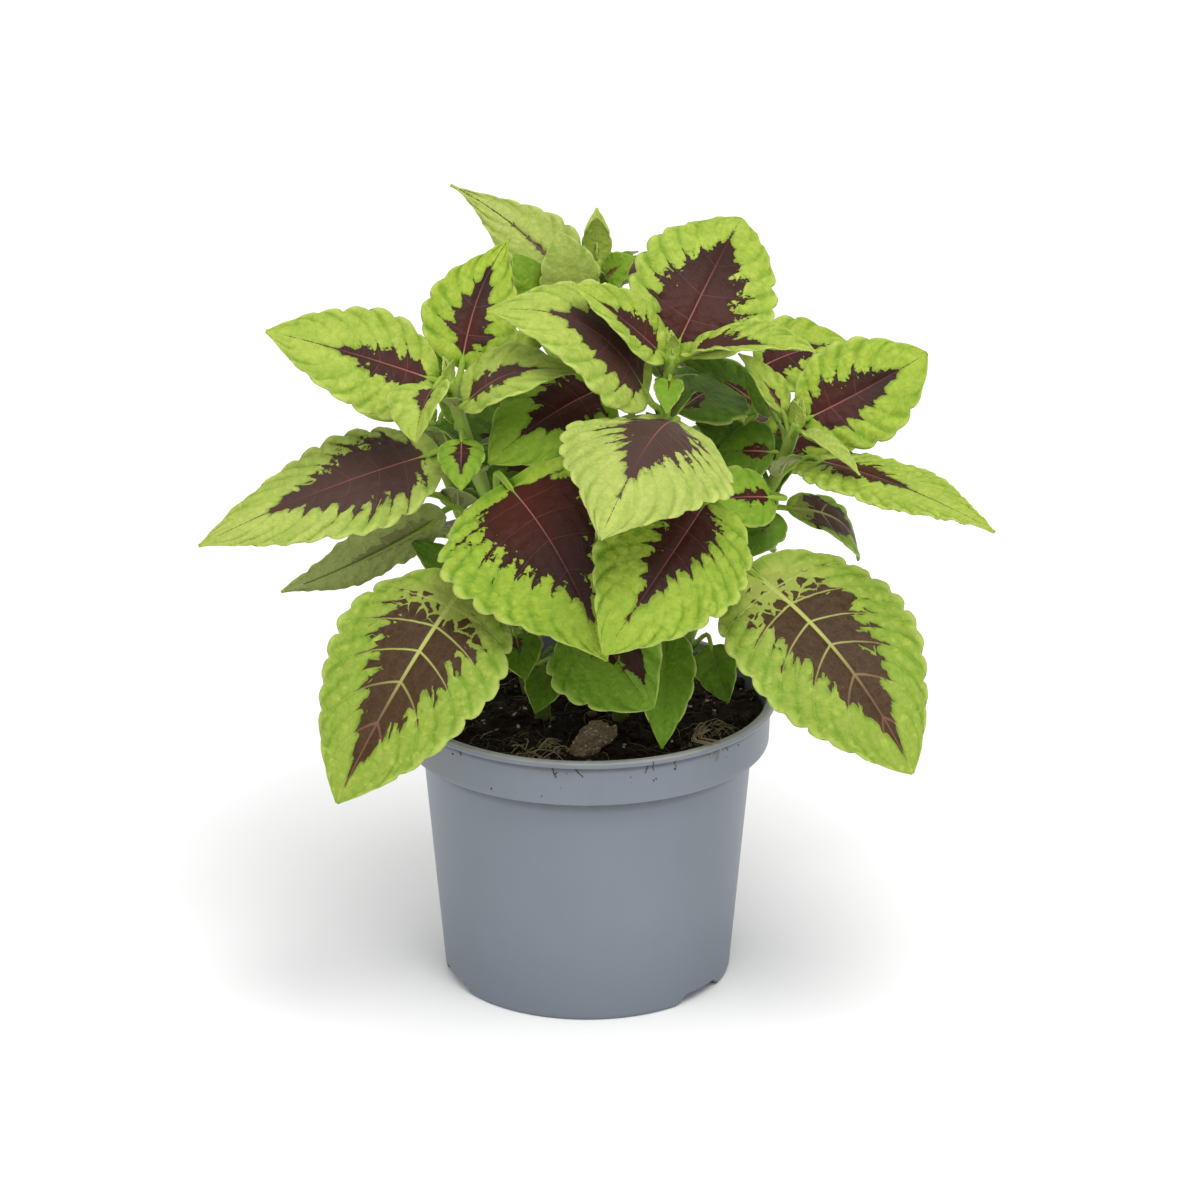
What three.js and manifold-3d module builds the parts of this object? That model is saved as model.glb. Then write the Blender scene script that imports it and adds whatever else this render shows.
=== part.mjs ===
// A potted coleus (Coleus scutellarioides): a round plastic nursery pot filled with potting soil,
// six leafy stems rooted in it, and broad toothed leaves in opposite pairs on slim stalks.
// Millimetres, +Z up. The origin is the centre of the pot's foot, on the surface that it stands on.
// -Y is the plant's front. Every leaf is one thin solid: its stalk and its blade, grown together.
import * as THREE from 'three';
import { mergeVertices } from 'three/addons/utils/BufferGeometryUtils.js';
import Module from 'manifold-3d';

const wasm = await Module();
wasm.setup();

// ---------------------------------------------------------------- driving dimensions
const GAP = 0.3;                // running gap wherever two solids touch

const POT_HEIGHT = 93;
const LIP_RADIUS = 60;          // outside of the rolled lip
const LIP_HEIGHT = 2.8;
const COLLAR_RADIUS = 58.2;     // outside of the collar under the lip
const COLLAR_FOOT = 78;         // the collar runs from here to the lip
const BODY_TOP_RADIUS = 52.6;   // just under the collar
const FOOT_RADIUS = 45.8;
const WALL = 1.3;
const FLOOR_RISE = 4;           // the floor is raised inside the foot ring
const FOOT_RING = 3.4;          // width of the ring that the pot stands on
const POT_SIDES = 36;
const NOTCH_ANGLES = [-38, -158, 82];   // arches cut in the foot, degrees from +X
const NOTCH_WIDTH = 22;
const NOTCH_HEIGHT = 3.4;
const DRAIN_RADIUS = 4;
const DRAIN_CIRCLE = 30;
const DRAIN_COUNT = 5;

const SOIL_TOP = 86;
const SOIL_RELIEF = 1.1;
const SOIL_SIDES = POT_SIDES / 2;
const SOIL_RINGS = 4;
const BARK_SIZE = [21, 11, 5];
const BARK_PLACE = [0, -29, 88.5];
const BARK_TAPER = 0.55;        // how much narrower and thinner its ends are than its middle
const BARK_SLOPE = 16;
const BARK_TURN = 52;

const STEM_BASE_RADIUS = 2.9;
const STEM_TIP_RADIUS = 1.7;
const STEM_SIDES = 8;
const STEM_STEPS = 9;
const SQUARENESS = 0.5;         // coleus stems are square, with blunt edges
const ROOTED_TO = 66;           // height at which the stems end, down in the soil

const BLADE_THICKNESS = 0.8;
const TOOTH_DEPTH = 0.12;       // share of the half width
const TOOTH_LEAN = 0.62;        // where a tooth's crest stands between two notches
const TOOTH_PITCH = 8.2;        // length of blade for one tooth of each edge
const FEWEST_TEETH = 3;
const MOST_TEETH = 8;
const SMALL_BLADE = 45;         // a blade shorter than this has flat halves
const SHOULDERS = 0.07;         // reach of the blade back past the stalk's end, share of its length
const EDGE_DROOP = 0.16;        // fall of the edges below the midrib, share of the half width
const WAVE_DEPTH = 0.05;        // rise and fall of the edges along the blade, share of the half width
const WAVE_RATE = 11;
const NARROWEST = 0.5;          // half the blade's width where it starts and ends

const STALK_RADIUS = 1.35;
const STALK_END_RADIUS = 0.8;
const STALK_SIDES = 5;
const STALK_STEP = 6;
const STALK_LIFT = 0.35;        // a stalk leaves its stem a little steeper than it goes on
const UNDER_MIDRIB = 0.04;      // the stalk runs this share of the blade's length under the midrib

const YOUNG_ARCH = 0.1;         // arch and fold of the two young leaves at a stem's tip
const YOUNG_FOLD = 15;

// ---------------------------------------------------------------- small helpers
const vec = ([x, y, z]) => new THREE.Vector3(x, y, z);
const degrees = THREE.MathUtils.degToRad;
const { lerp } = THREE.MathUtils;

// A seeded random draw between 0 and 1, the same on every run.
function randomSource(seed) {
  let state = seed;
  return () => {
    state = (state * 1664525 + 1013904223) % 4294967296;
    return state / 4294967296;
  };
}

// A closed three.js geometry as a solid that can be joined and cut.
function solidOf(geometry) {
  const bare = geometry.clone();
  bare.deleteAttribute('normal');
  bare.deleteAttribute('uv');
  const merged = mergeVertices(bare, 1e-4);
  return new wasm.Manifold(new wasm.Mesh({
    numProp: 3,
    vertProperties: merged.attributes.position.array,
    triVerts: new Uint32Array(merged.index.array),
  }));
}

// The largest body of a solid: loose scraps of a cut are dropped.
function largest(solid) {
  return solid.decompose().sort((a, b) => b.volume() - a.volume())[0];
}

function geometryOf(solid) {
  const mesh = solid.getMesh();
  const geometry = new THREE.BufferGeometry();
  geometry.setAttribute('position', new THREE.BufferAttribute(mesh.vertProperties, mesh.numProp));
  geometry.setIndex(new THREE.BufferAttribute(mesh.triVerts, 1));
  geometry.computeVertexNormals();
  return geometry;
}

function moveVertices(geometry, moved) {
  const position = geometry.attributes.position;
  const at = new THREE.Vector3();
  for (let i = 0; i < position.count; i++) {
    at.fromBufferAttribute(position, i);
    moved(at);
    position.setXYZ(i, at.x, at.y, at.z);
  }
}

// A cylinder bent along a curve, from radius `thick` to radius `thin`. `square` from 0 to 1 pulls
// its round section towards a square one with blunt edges.
function bentTube(curve, thick, thin, sides, steps, square = 0) {
  const tube = new THREE.CylinderGeometry(1, 1, 1, sides, steps);
  const { normals, binormals } = curve.computeFrenetFrames(steps);
  moveVertices(tube, (at) => {
    const step = Math.round((at.y + 0.5) * steps);
    const angle = Math.atan2(at.z, at.x);
    const squared = 1 / Math.max(Math.abs(Math.cos(angle)), Math.abs(Math.sin(angle)));
    const radius = lerp(thick, thin, step / steps) * (1 + square * (squared - 1.1));
    const [right, forward] = [at.x * radius, -at.z * radius];
    at.copy(curve.getPointAt(step / steps));
    at.addScaledVector(normals[step], right).addScaledVector(binormals[step], forward);
  });
  return tube;
}

function latheOf(profile, sides) {
  const lathe = new THREE.LatheGeometry(profile.map(([r, z]) => new THREE.Vector2(r, z)), sides);
  lathe.rotateX(Math.PI / 2);
  return lathe;
}

// ---------------------------------------------------------------- pot
const wallOutside = (z) => lerp(FOOT_RADIUS, BODY_TOP_RADIUS, z / COLLAR_FOOT);
const wallInside = (z) => wallOutside(z) - WALL;
const COLLAR_INSIDE = COLLAR_RADIUS - 0.6 - WALL;
const FLOOR_TOP = FLOOR_RISE + WALL;
const FLOOR_ROUND = 2.5;        // the corner between the floor and the wall inside

function potSolid() {
  const lipFoot = POT_HEIGHT - LIP_HEIGHT;
  const foot = FOOT_RADIUS - FOOT_RING;
  const outside = [
    [foot, 0], [FOOT_RADIUS - 0.8, 0], [wallOutside(1.2), 1.2], [BODY_TOP_RADIUS, COLLAR_FOOT],
    [COLLAR_RADIUS - 1, COLLAR_FOOT], [COLLAR_RADIUS - 0.4, COLLAR_FOOT + 1],
    [COLLAR_RADIUS, lipFoot - 0.5], [LIP_RADIUS - 0.3, lipFoot],
    [LIP_RADIUS, POT_HEIGHT - 0.9], [LIP_RADIUS - 1, POT_HEIGHT],
  ];
  const roundTop = FLOOR_TOP + FLOOR_ROUND;
  const inside = [
    [COLLAR_INSIDE + 0.4, POT_HEIGHT - 0.3], [COLLAR_INSIDE, COLLAR_FOOT + WALL + 1],
    [wallInside(COLLAR_FOOT - 1), COLLAR_FOOT - 1], [wallInside(roundTop), roundTop],
    [wallInside(FLOOR_TOP) - FLOOR_ROUND, FLOOR_TOP], [0, FLOOR_TOP],
    [0, FLOOR_RISE], [foot, FLOOR_RISE], [foot, 0],
  ];
  let pot = solidOf(latheOf([...outside, ...inside], POT_SIDES));
  for (const angle of NOTCH_ANGLES) pot = pot.subtract(footNotch(degrees(angle)));
  for (let i = 0; i < DRAIN_COUNT; i++) {
    const angle = (2 * Math.PI * i) / DRAIN_COUNT;
    const hole = new THREE.CylinderGeometry(DRAIN_RADIUS, DRAIN_RADIUS, 3 * WALL, 10);
    hole.rotateX(Math.PI / 2);
    hole.translate(DRAIN_CIRCLE * Math.cos(angle), DRAIN_CIRCLE * Math.sin(angle), FLOOR_RISE + WALL / 2);
    pot = pot.subtract(solidOf(hole));
  }
  return pot;
}

// The cutter for one low arch in the foot ring.
function footNotch(angle) {
  const half = NOTCH_WIDTH / 2;
  const shoulder = 5;
  const arch = new THREE.Shape();
  arch.moveTo(-half, -1);
  arch.lineTo(half, -1);
  arch.quadraticCurveTo(half - 1, NOTCH_HEIGHT, half - shoulder, NOTCH_HEIGHT);
  arch.lineTo(shoulder - half, NOTCH_HEIGHT);
  arch.quadraticCurveTo(1 - half, NOTCH_HEIGHT, -half, -1);
  const cutter = new THREE.ExtrudeGeometry(arch, { depth: 14, bevelEnabled: false, curveSegments: 4 });
  cutter.rotateX(Math.PI / 2);      // the arch stands up and runs along -Y
  cutter.translate(0, 9 - FOOT_RADIUS, 0);
  cutter.rotateZ(angle + Math.PI / 2);
  return solidOf(cutter);
}

// ---------------------------------------------------------------- soil and what lies in it
function soilHeight(x, y) {
  const broad = Math.sin(0.31 * x + 1.3) * Math.cos(0.27 * y - 0.4);
  const fine = 0.6 * Math.sin(0.53 * x - 0.47 * y);
  return SOIL_TOP + SOIL_RELIEF * (broad + fine);
}

// The soil fills the pot up to a little under its lip. It is a lathe whose top is then made lumpy.
function soilSolid() {
  const clear = GAP + 0.2;
  const bottom = FLOOR_TOP + GAP;
  const round = bottom + FLOOR_ROUND;
  const edge = COLLAR_INSIDE - 0.3 - clear;
  const profile = [
    [0, bottom], [wallInside(bottom) - clear - FLOOR_ROUND, bottom], [wallInside(round) - clear, round],
    [wallInside(COLLAR_FOOT - 2) - clear, COLLAR_FOOT - 1],
    [edge - 1.5, COLLAR_FOOT + 4], [edge, SOIL_TOP - 2],
  ];
  for (let i = SOIL_RINGS; i >= 0; i--) profile.push([(edge * i) / SOIL_RINGS, SOIL_TOP]);
  const lathe = latheOf(profile, SOIL_SIDES);
  moveVertices(lathe, (at) => {
    if (at.z > SOIL_TOP - 0.1) at.z = soilHeight(at.x, at.y);
  });
  return solidOf(lathe);
}

// A flake of bark that lies on the soil, near the front: a box with its corners drawn in and shaken.
function barkSolid(extra = 0) {
  const [length, breadth, height] = BARK_SIZE;
  const flake = new THREE.BoxGeometry(length, breadth, height, 4, 3, 1);
  const random = randomSource(7);
  const shakes = new Map();
  moveVertices(flake, (at) => {
    const corner = at.toArray().map((c) => c.toFixed(1)).join();
    if (!shakes.has(corner)) shakes.set(corner, [random() - 0.5, random() - 0.5, random() - 0.5]);
    const [a, b, c] = shakes.get(corner);
    const taper = 1 - BARK_TAPER * Math.abs((2 * at.x) / length);
    at.set(at.x + 1.6 * a, at.y * taper + 1.3 * b, at.z * taper + 1.1 * c);
  });
  flake.scale(1 + (2 * extra) / length, 1 + (2 * extra) / breadth, 1 + (2 * extra) / height);
  flake.rotateY(degrees(-BARK_SLOPE));
  flake.rotateZ(degrees(BARK_TURN));
  flake.translate(...BARK_PLACE);
  return solidOf(flake);
}

// ---------------------------------------------------------------- stems
// Each stem: the points of its centreline from its root to its growing tip, and the pair of young
// leaves that closes the tip, as the direction of the first (degrees from +X), length and width.
const STEMS = {
  stem_centre: [
    [[8, -6, ROOTED_TO], [13, -9, 110], [18, -13, 150], [23, -17, 185], [26, -19, 211]], 100, 7, 5,
  ],
  stem_left: [
    [[-12, -4, ROOTED_TO], [-17, -8, 110], [-27, -15, 150], [-36, -21, 182], [-42, -26, 205]], 130, 7, 5,
  ],
  stem_right: [
    [[20, 2, ROOTED_TO], [30, 1, 107], [43, -1, 138], [57, -3, 162], [65, -6, 185]], 60, 8, 6,
  ],
  stem_back: [
    [[0, 14, ROOTED_TO], [1, 22, 110], [2, 32, 150], [3, 38, 188], [3, 42, 224]], 90, 15, 10,
  ],
  stem_back_left: [
    [[-14, 14, ROOTED_TO], [-24, 26, 105], [-39, 39, 135], [-51, 48, 168]], 120, 9, 6,
  ],
  stem_back_right: [
    [[15, 17, ROOTED_TO], [27, 28, 105], [42, 42, 135], [53, 50, 170]], 40, 9, 6,
  ],
};

const stemCurves = {};
for (const [name, [points]] of Object.entries(STEMS)) {
  stemCurves[name] = new THREE.CatmullRomCurve3(points.map(vec));
}

// The point of a stem's centreline at a height.
function stemPoint(name, height) {
  let [low, high] = [0, 1];
  for (let i = 0; i < 30; i++) {
    const middle = (low + high) / 2;
    if (stemCurves[name].getPoint(middle).z < height) low = middle;
    else high = middle;
  }
  return stemCurves[name].getPoint(low);
}

function stemSolid(name, extra = 0) {
  const curve = stemCurves[name];
  const thick = STEM_BASE_RADIUS + extra;
  const thin = STEM_TIP_RADIUS + extra;
  return solidOf(bentTube(curve, thick, thin, STEM_SIDES, STEM_STEPS, SQUARENESS));
}

// ---------------------------------------------------------------- leaves
// One row a leaf, under the stem it grows on: the height at which its stalk leaves that stem, the
// blade's base and tip, the way that its upper face looks, its width, the arch of its midrib as a
// share of its length, the fold of its two halves about the midrib in degrees (up is positive), the
// midrib's sweep to one side as a share of its length, and how drawn out its point is.
const LEAVES = {
  stem_centre: {
    leaf_centre_up: [205, [28, -13, 213], [48, 25, 242], [0, -0.9, 0.42], 47, 0.12, 8, 0, 0.9],
    leaf_centre_left: [206, [22, -23, 213], [-4, -32, 237], [0.4, -0.5, 0.8], 25, 0.03, 22, 0, 1.05],
    leaf_centre_right: [206, [32, -23, 212], [69, -42, 219], [-0.1, -0.1, 1], 27, 0.06, 26, 0, 1.05],
    leaf_centre_down: [201, [25, -30, 206], [24, -47, 201], [0, -0.7, 0.7], 10, 0.05, 20, 0, 1.05],
    leaf_centre_top: [188, [17, -27, 203], [-30, -33, 229], [0.3, -0.5, 0.8], 44, 0.16, 8, -0.08, 1.1],
    leaf_centre_inner: [168, [3, -11, 197], [-30, -31, 180], [-0.1, -0.7, 0.6], 38, 0.10, 8, 0, 0.95],
    leaf_centre_back: [180, [29, -2, 188], [47, 25, 185], [0.1, -0.4, 0.85], 33, 0.12, 8, 0, 1],
    leaf_front_droop: [182, [26, -38, 196], [4, -100, 180], [0.1, -0.5, 0.86], 56, 0.15, -12, 0, 1],
    leaf_front_right: [158, [36, -47, 173], [5, -92, 141], [0.2, -0.8, 0.55], 50, 0.08, 8, 0, 0.95],
    leaf_bottom_centre: [128, [2, -30, 133], [20, -62, 112], [-0.6, -0.6, 0.5], 46, 0.12, 14, 0, 0.85],
    leaf_bottom_tip: [122, [24, -32, 124], [23, -50, 94], [0.1, -0.9, 0.3], 21, 0.06, 24, 0, 1.05],
  },
  stem_left: {
    leaf_left_up: [198, [-38, -14, 208], [-24, 15, 238], [0, -0.9, 0.4], 32, 0.08, 12, 0.05, 1.4],
    leaf_left_out: [200, [-48, -24, 205], [-96.5, -32, 222.5], [-0.1, -0.7, 0.7], 36, 0.01, 6, -0.01, 1],
    leaf_left_in: [195, [-36, -31, 200], [-3, -31, 209], [-0.3, -0.4, 0.9], 28, 0.18, 16, 0, 1.05],
    leaf_left_front: [200, [-46, -41, 207], [-51, -54, 194], [-0.6, -0.7, 0.4], 26, 0.10, 30, 0, 1.05],
    leaf_left_small: [180, [-38, -34, 188], [-38, -45, 176], [0, -0.9, 0.4], 15, 0.08, 10, 0, 1.05],
    leaf_left_mid: [172, [-49, -26, 181], [-118.5, -38, 156], [-0.1, -0.55, 0.85], 40, 0.05, 2, 0.01, 1.1],
    leaf_front_left: [160, [-23, -40, 175], [6, -82, 135], [-0.1, -0.8, 0.6], 68, 0.10, 6, 0.04, 1.15],
    leaf_left_under: [146, [-48, -5, 153], [-95, -21, 135], [-0.2, 0.72, 0.64], 35, -0.03, 10, 0, 1.05],
    leaf_low_left: [130, [-38, -46, 145], [-75, -86, 91], [-0.3, -0.8, 0.5], 57, 0.08, 8, 0.01, 0.9],
    leaf_bottom_left: [112, [-22, -22, 120], [-19, -38, 112], [0, -0.9, 0.4], 16, 0.08, 12, 0, 1.05],
    leaf_bottom_left_low: [104, [-12, -24, 110], [-16, -38, 101], [0, -0.9, 0.4], 14, 0.06, 14, 0, 1.05],
  },
  stem_right: {
    leaf_right_up: [177, [69, -4, 186], [106, 12, 202], [0.1, -0.85, 0.5], 36, 0.05, 10, -0.02, 0.85],
    leaf_right_small: [179, [67, -14, 184], [83, -36, 178], [0.3, -0.4, 0.9], 9, 0.05, 30, 0, 1.05],
    leaf_right_in: [179, [60, -2, 188], [47, 5, 204], [0.7, -0.5, 0.5], 15, 0.05, 24, 0, 1.05],
    leaf_right_fill: [166, [57, -2, 174], [40, 5, 171], [-0.2, -0.7, 0.7], 22, 0.08, 10, 0, 1.05],
    leaf_right_far: [166, [72, -10, 174], [121.5, -67, 171], [0.1, -0.2, 1], 34, 0.03, 6, 0, 1.15],
    leaf_right_inner: [158, [56, -22, 166], [30, -34, 168], [0, -0.7, 0.7], 22, 0.06, 10, 0, 1.05],
    leaf_right_inner_low: [150, [57, -14, 158], [50, -24, 147], [0, -0.9, 0.4], 15, 0.06, 10, 0, 1.05],
    leaf_right_behind: [146, [64, 5, 153], [86, 16, 132], [0.6, -0.2, 0.6], 20, 0.21, 8, 0, 0.7],
    leaf_low_right: [124, [52, -41, 147], [98, -82, 99], [0.3, -0.8, 0.5], 58, 0.08, 8, 0.03, 0.85],
    leaf_bottom_right: [104, [39, -12, 112], [44, -22, 98], [-0.2, -0.9, 0.4], 16, 0.05, 24, 0, 1.05],
  },
  stem_back: {
    leaf_back_top_left: [207, [-5, 37, 217], [-43, 44, 247.5], [-0.2, -0.6, 0.75], 27, 0.02, 4, -0.05, 1.6],
    leaf_back_small: [215, [6, 37, 219], [15, 32, 227], [0.1, -0.7, 0.7], 13, 0.08, 10, 0, 1.05],
    leaf_back_front: [196, [1, 27, 206], [-9, -4, 202], [0, -0.3, 0.9], 33, 0.14, 8, 0, 1],
    leaf_back_inner: [146, [-10, 17, 161], [-46, 15, 178], [-0.1, -0.6, 0.75], 40, 0.08, 8, 0, 0.85],
    leaf_back_left: [196, [-8, 45, 210], [-30, 57, 220], [0, -0.8, 0.6], 27, 0.08, 10, 0, 1.05],
    leaf_back_rear: [208, [11, 52, 214], [26, 94, 206], [0, 0.5, 0.9], 38, 0.12, 10, 0, 0.95],
    leaf_back_mid_left: [170, [-5, 54, 176], [-23, 100, 158], [-0.1, 0.6, 0.8], 44, 0.12, 8, 0, 0.95],
    leaf_back_mid_right: [150, [14, 46, 160], [40, 90, 142], [0.1, 0.6, 0.8], 42, 0.12, 8, 0, 0.95],
    leaf_back_low: [124, [-2, 44, 137], [-10, 92, 104], [0, 0.7, 0.7], 48, 0.10, 8, 0, 0.9],
  },
  stem_back_left: {
    leaf_rear_left_up: [158, [-59, 41, 173], [-70, 56, 198], [-0.1, -0.7, 0.7], 28, 0.08, 10, 0, 1.05],
    leaf_rear_left_in: [160, [-44, 48, 173], [-18, 52, 186], [-0.2, 0.3, 0.9], 33, 0.08, 10, 0, 1.05],
    leaf_rear_left_back: [152, [-54, 58, 157], [-78, 90, 143], [-0.4, 0.5, 0.8], 38, 0.10, 8, 0, 0.95],
    leaf_rear_left_out: [140, [-55, 32, 149], [-97, 42, 136], [-0.3, 0, 0.95], 38, 0.08, 8, 0, 0.95],
    leaf_rear_left_low: [118, [-46, 46, 130], [-64, 86, 110], [-0.3, 0.6, 0.7], 42, 0.1, 8, 0, 0.95],
  },
  stem_back_right: {
    leaf_rear_right_up: [162, [56, 46, 187], [85, 57, 191], [0.1, -0.6, 0.8], 30, 0.12, 8, 0, 1],
    leaf_rear_right_in: [162, [42, 52, 180], [15, 50, 187], [0.2, 0.1, 0.9], 34, 0.08, 10, 0, 0.95],
    leaf_rear_right_back: [154, [56, 60, 162], [86, 90, 150], [0.4, 0.5, 0.8], 40, 0.10, 8, 0, 0.95],
    leaf_rear_right_out: [150, [58, 37, 160], [98, 52, 172], [0.3, -0.3, 0.95], 32, 0.08, 8, 0, 0.95],
    leaf_rear_right_low: [116, [40, 54, 124], [50, 90, 108], [0.3, 0.6, 0.7], 38, 0.10, 8, 0, 0.95],
  },
};

// Half the blade's width as a share of its greatest, from the base (0) to the tip (1). The base is
// round, and the greater `point` is, the longer and finer the tip.
function bladeProfile(s, point) {
  const widest = 0.5 / (0.5 + point);
  const shape = (x) => Math.pow(x, 0.5) * Math.pow(1 - x, point);
  return shape(s) / shape(widest);
}

// The leaf's middle surface: point(s, v) for s from base to tip and v from -1 to 1 across.
function bladeSurface([, base, tip, face, width, arch, fold, sweep, drawnOut]) {
  const start = vec(base);
  const along = vec(tip).sub(start);
  const length = along.length();
  along.normalize();
  const up = vec(face);
  up.addScaledVector(along, -up.dot(along)).normalize();
  const side = new THREE.Vector3().crossVectors(up, along);
  const rise = Math.sin(degrees(fold));
  const spread = Math.cos(degrees(fold));
  const bow = (s) => length * 4 * s * (1 - s);
  const middle = (s) => start.clone()
    .addScaledVector(along, length * s)
    .addScaledVector(up, arch * bow(s))
    .addScaledVector(side, sweep * bow(s));
  const point = (s, v) => {
    const half = Math.max(0.5 * width * bladeProfile(s, drawnOut), NARROWEST);
    const normal = up.clone().addScaledVector(along, -4 * arch * (1 - 2 * s)).normalize();
    const wave = WAVE_DEPTH * Math.sin(WAVE_RATE * s + 2 * v) - EDGE_DROOP;
    return middle(s)
      .addScaledVector(along, -SHOULDERS * length * v * v * Math.pow(1 - s, 4))
      .addScaledVector(side, half * v * spread)
      .addScaledVector(normal, half * (rise * Math.abs(v) + wave * v * v));
  };
  return { point, middle, length };
}

function bladeNormal(surface, s, v) {
  const step = 0.01;
  const ahead = surface.point(Math.min(s + step, 1), v).sub(surface.point(Math.max(s - step, 0), v));
  const across = surface.point(s, v + step).sub(surface.point(s, v - step));
  return new THREE.Vector3().crossVectors(ahead, across).normalize();
}

// The blade is a thin plate, split into triangles alike on both faces. Down each half run the midrib,
// a line half way out on the larger blades, and the toothed edge, with a notch and a crest a step.
function bladeGeometry(surface) {
  const teeth = THREE.MathUtils.clamp(Math.round(surface.length / TOOTH_PITCH), FEWEST_TEETH, MOST_TEETH);
  const small = surface.length < SMALL_BLADE;
  const spots = [];
  const spot = (s, v) => spots.push([s, v]) - 1;
  const rows = [];
  for (let k = 0; k <= teeth; k++) {
    const s = k / teeth;
    const notch = k === 0 || k === teeth ? 1 : 1 - TOOTH_DEPTH;
    const middle = spot(s, 0);
    const row = { middle };
    for (const hand of [-1, 1]) {
      row[hand] = { inner: small ? middle : spot(s, hand * 0.5), notch: spot(s, hand * notch) };
      if (k < teeth) row[hand].crest = spot((k + TOOTH_LEAN) / teeth, hand);
    }
    rows.push(row);
  }
  const face = [];
  const rim = { [-1]: [], 1: [] };
  for (let k = 0; k < teeth; k++) {
    const [near, far] = [rows[k], rows[k + 1]];
    for (const hand of [-1, 1]) {
      const [a, b] = [near[hand], far[hand]];
      const list = [[a.inner, a.notch, a.crest], [a.inner, a.crest, b.inner], [b.inner, a.crest, b.notch]];
      if (!small) list.push([near.middle, a.inner, b.inner], [near.middle, b.inner, far.middle]);
      for (const [p, q, r] of list) face.push(hand > 0 ? [p, q, r] : [p, r, q]);
      rim[hand].push(a.notch, a.crest);
    }
  }
  // The spots across a row's end, from one notch to the other; a small blade's inner spots are its middle.
  const across = (row, hand) => [...new Set([row[hand].inner, row.middle, row[-hand].inner])];
  const [first, last] = [rows[0], rows[teeth]];
  const loop = [
    ...rim[1], last[1].notch, ...across(last, 1), last[-1].notch,
    ...rim[-1].reverse(), ...across(first, -1),
  ];
  const under = spots.length;
  const triangles = [];
  for (const [p, q, r] of face) triangles.push(p, r, q, p + under, q + under, r + under);
  loop.forEach((a, i) => {
    const b = loop[(i + 1) % loop.length];
    triangles.push(a, b, b + under, a, b + under, a + under);
  });
  const points = [0.5, -0.5].flatMap((offset) => spots.map(([s, v]) => surface.point(s, v)
    .addScaledVector(bladeNormal(surface, s, v), offset * BLADE_THICKNESS)));
  const geometry = new THREE.BufferGeometry().setFromPoints(points);
  geometry.setIndex(triangles);
  return geometry;
}

// The stalk runs from the middle of the stem to the blade's base, and a little way under the midrib.
function stalkGeometry(surface, root) {
  const base = surface.middle(0);
  const under = surface.middle(UNDER_MIDRIB);
  const heading = under.clone().sub(base).normalize();
  const reach = base.distanceTo(root);
  const leave = base.clone().sub(root).normalize();
  leave.z += STALK_LIFT;
  leave.normalize();
  const curve = new THREE.CatmullRomCurve3([
    root, root.clone().addScaledVector(leave, 0.35 * reach),
    base.clone().addScaledVector(heading, -0.3 * reach), base, under,
  ]);
  const steps = Math.max(3, Math.round(reach / STALK_STEP));
  return bentTube(curve, STALK_RADIUS, STALK_END_RADIUS, STALK_SIDES, steps);
}

function leafSolid(row, stem, clearance) {
  const surface = bladeSurface(row);
  const stalk = solidOf(stalkGeometry(surface, stemPoint(stem, row[0])));
  return largest(solidOf(bladeGeometry(surface)).add(stalk).subtract(clearance));
}

// Two young leaves, folded upwards, close each growing tip.
function stemWithTip(name) {
  const [, turn, length, width] = STEMS[name];
  const tip = stemCurves[name].getPoint(1);
  let stem = stemSolid(name);
  for (const angle of [degrees(turn), degrees(turn + 180)]) {
    const out = new THREE.Vector3(Math.cos(angle), Math.sin(angle), 0);
    const from = tip.clone().addScaledVector(out, 0.7);
    from.z -= 1.5;
    const to = tip.clone().addScaledVector(out, 0.35 * length);
    to.z += length;
    const face = [-out.x, -out.y, 0.3];
    const row = [tip.z, from.toArray(), to.toArray(), face, width, YOUNG_ARCH, YOUNG_FOLD, 0, 1];
    stem = stem.add(solidOf(bladeGeometry(bladeSurface(row))));
  }
  return largest(stem);
}

// ---------------------------------------------------------------- the assembly
const material = (color, roughness) => new THREE.MeshStandardMaterial({ color, roughness });
const MATERIALS = {
  pot: material(0x868d99, 0.45),
  soil: material(0x1c1510, 0.95),
  bark: material(0x6b5847, 0.9),
  stem: material(0x6f9a3a, 0.5),
  leaf: material(0x9cc24b, 0.45),
};

const coleus = new THREE.Group();
function place(name, solid, finish) {
  const mesh = new THREE.Mesh(geometryOf(solid), finish);
  mesh.name = name;
  coleus.add(mesh);
}

const bark = barkSolid();
const clearances = {};
let soil = soilSolid().subtract(barkSolid(1.5 * GAP));
for (const name of Object.keys(STEMS)) {
  clearances[name] = stemSolid(name, GAP + 0.05);
  soil = soil.subtract(clearances[name]);
}

place('pot', potSolid(), MATERIALS.pot);
place('soil', largest(soil), MATERIALS.soil);
place('bark_chip', bark, MATERIALS.bark);
for (const [stem, leaves] of Object.entries(LEAVES)) {
  place(stem, stemWithTip(stem), MATERIALS.stem);
  for (const [name, row] of Object.entries(leaves)) {
    place(name, leafSolid(row, stem, clearances[stem]), MATERIALS.leaf);
  }
}

export default coleus;
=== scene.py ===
# The looks of the potted coleus: fine leaves, stems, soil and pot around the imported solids.
# Lengths are in millimetres until a mesh is made, which is in metres, as the frame is.
import math

import bpy
import numpy as np
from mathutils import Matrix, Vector, noise


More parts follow.
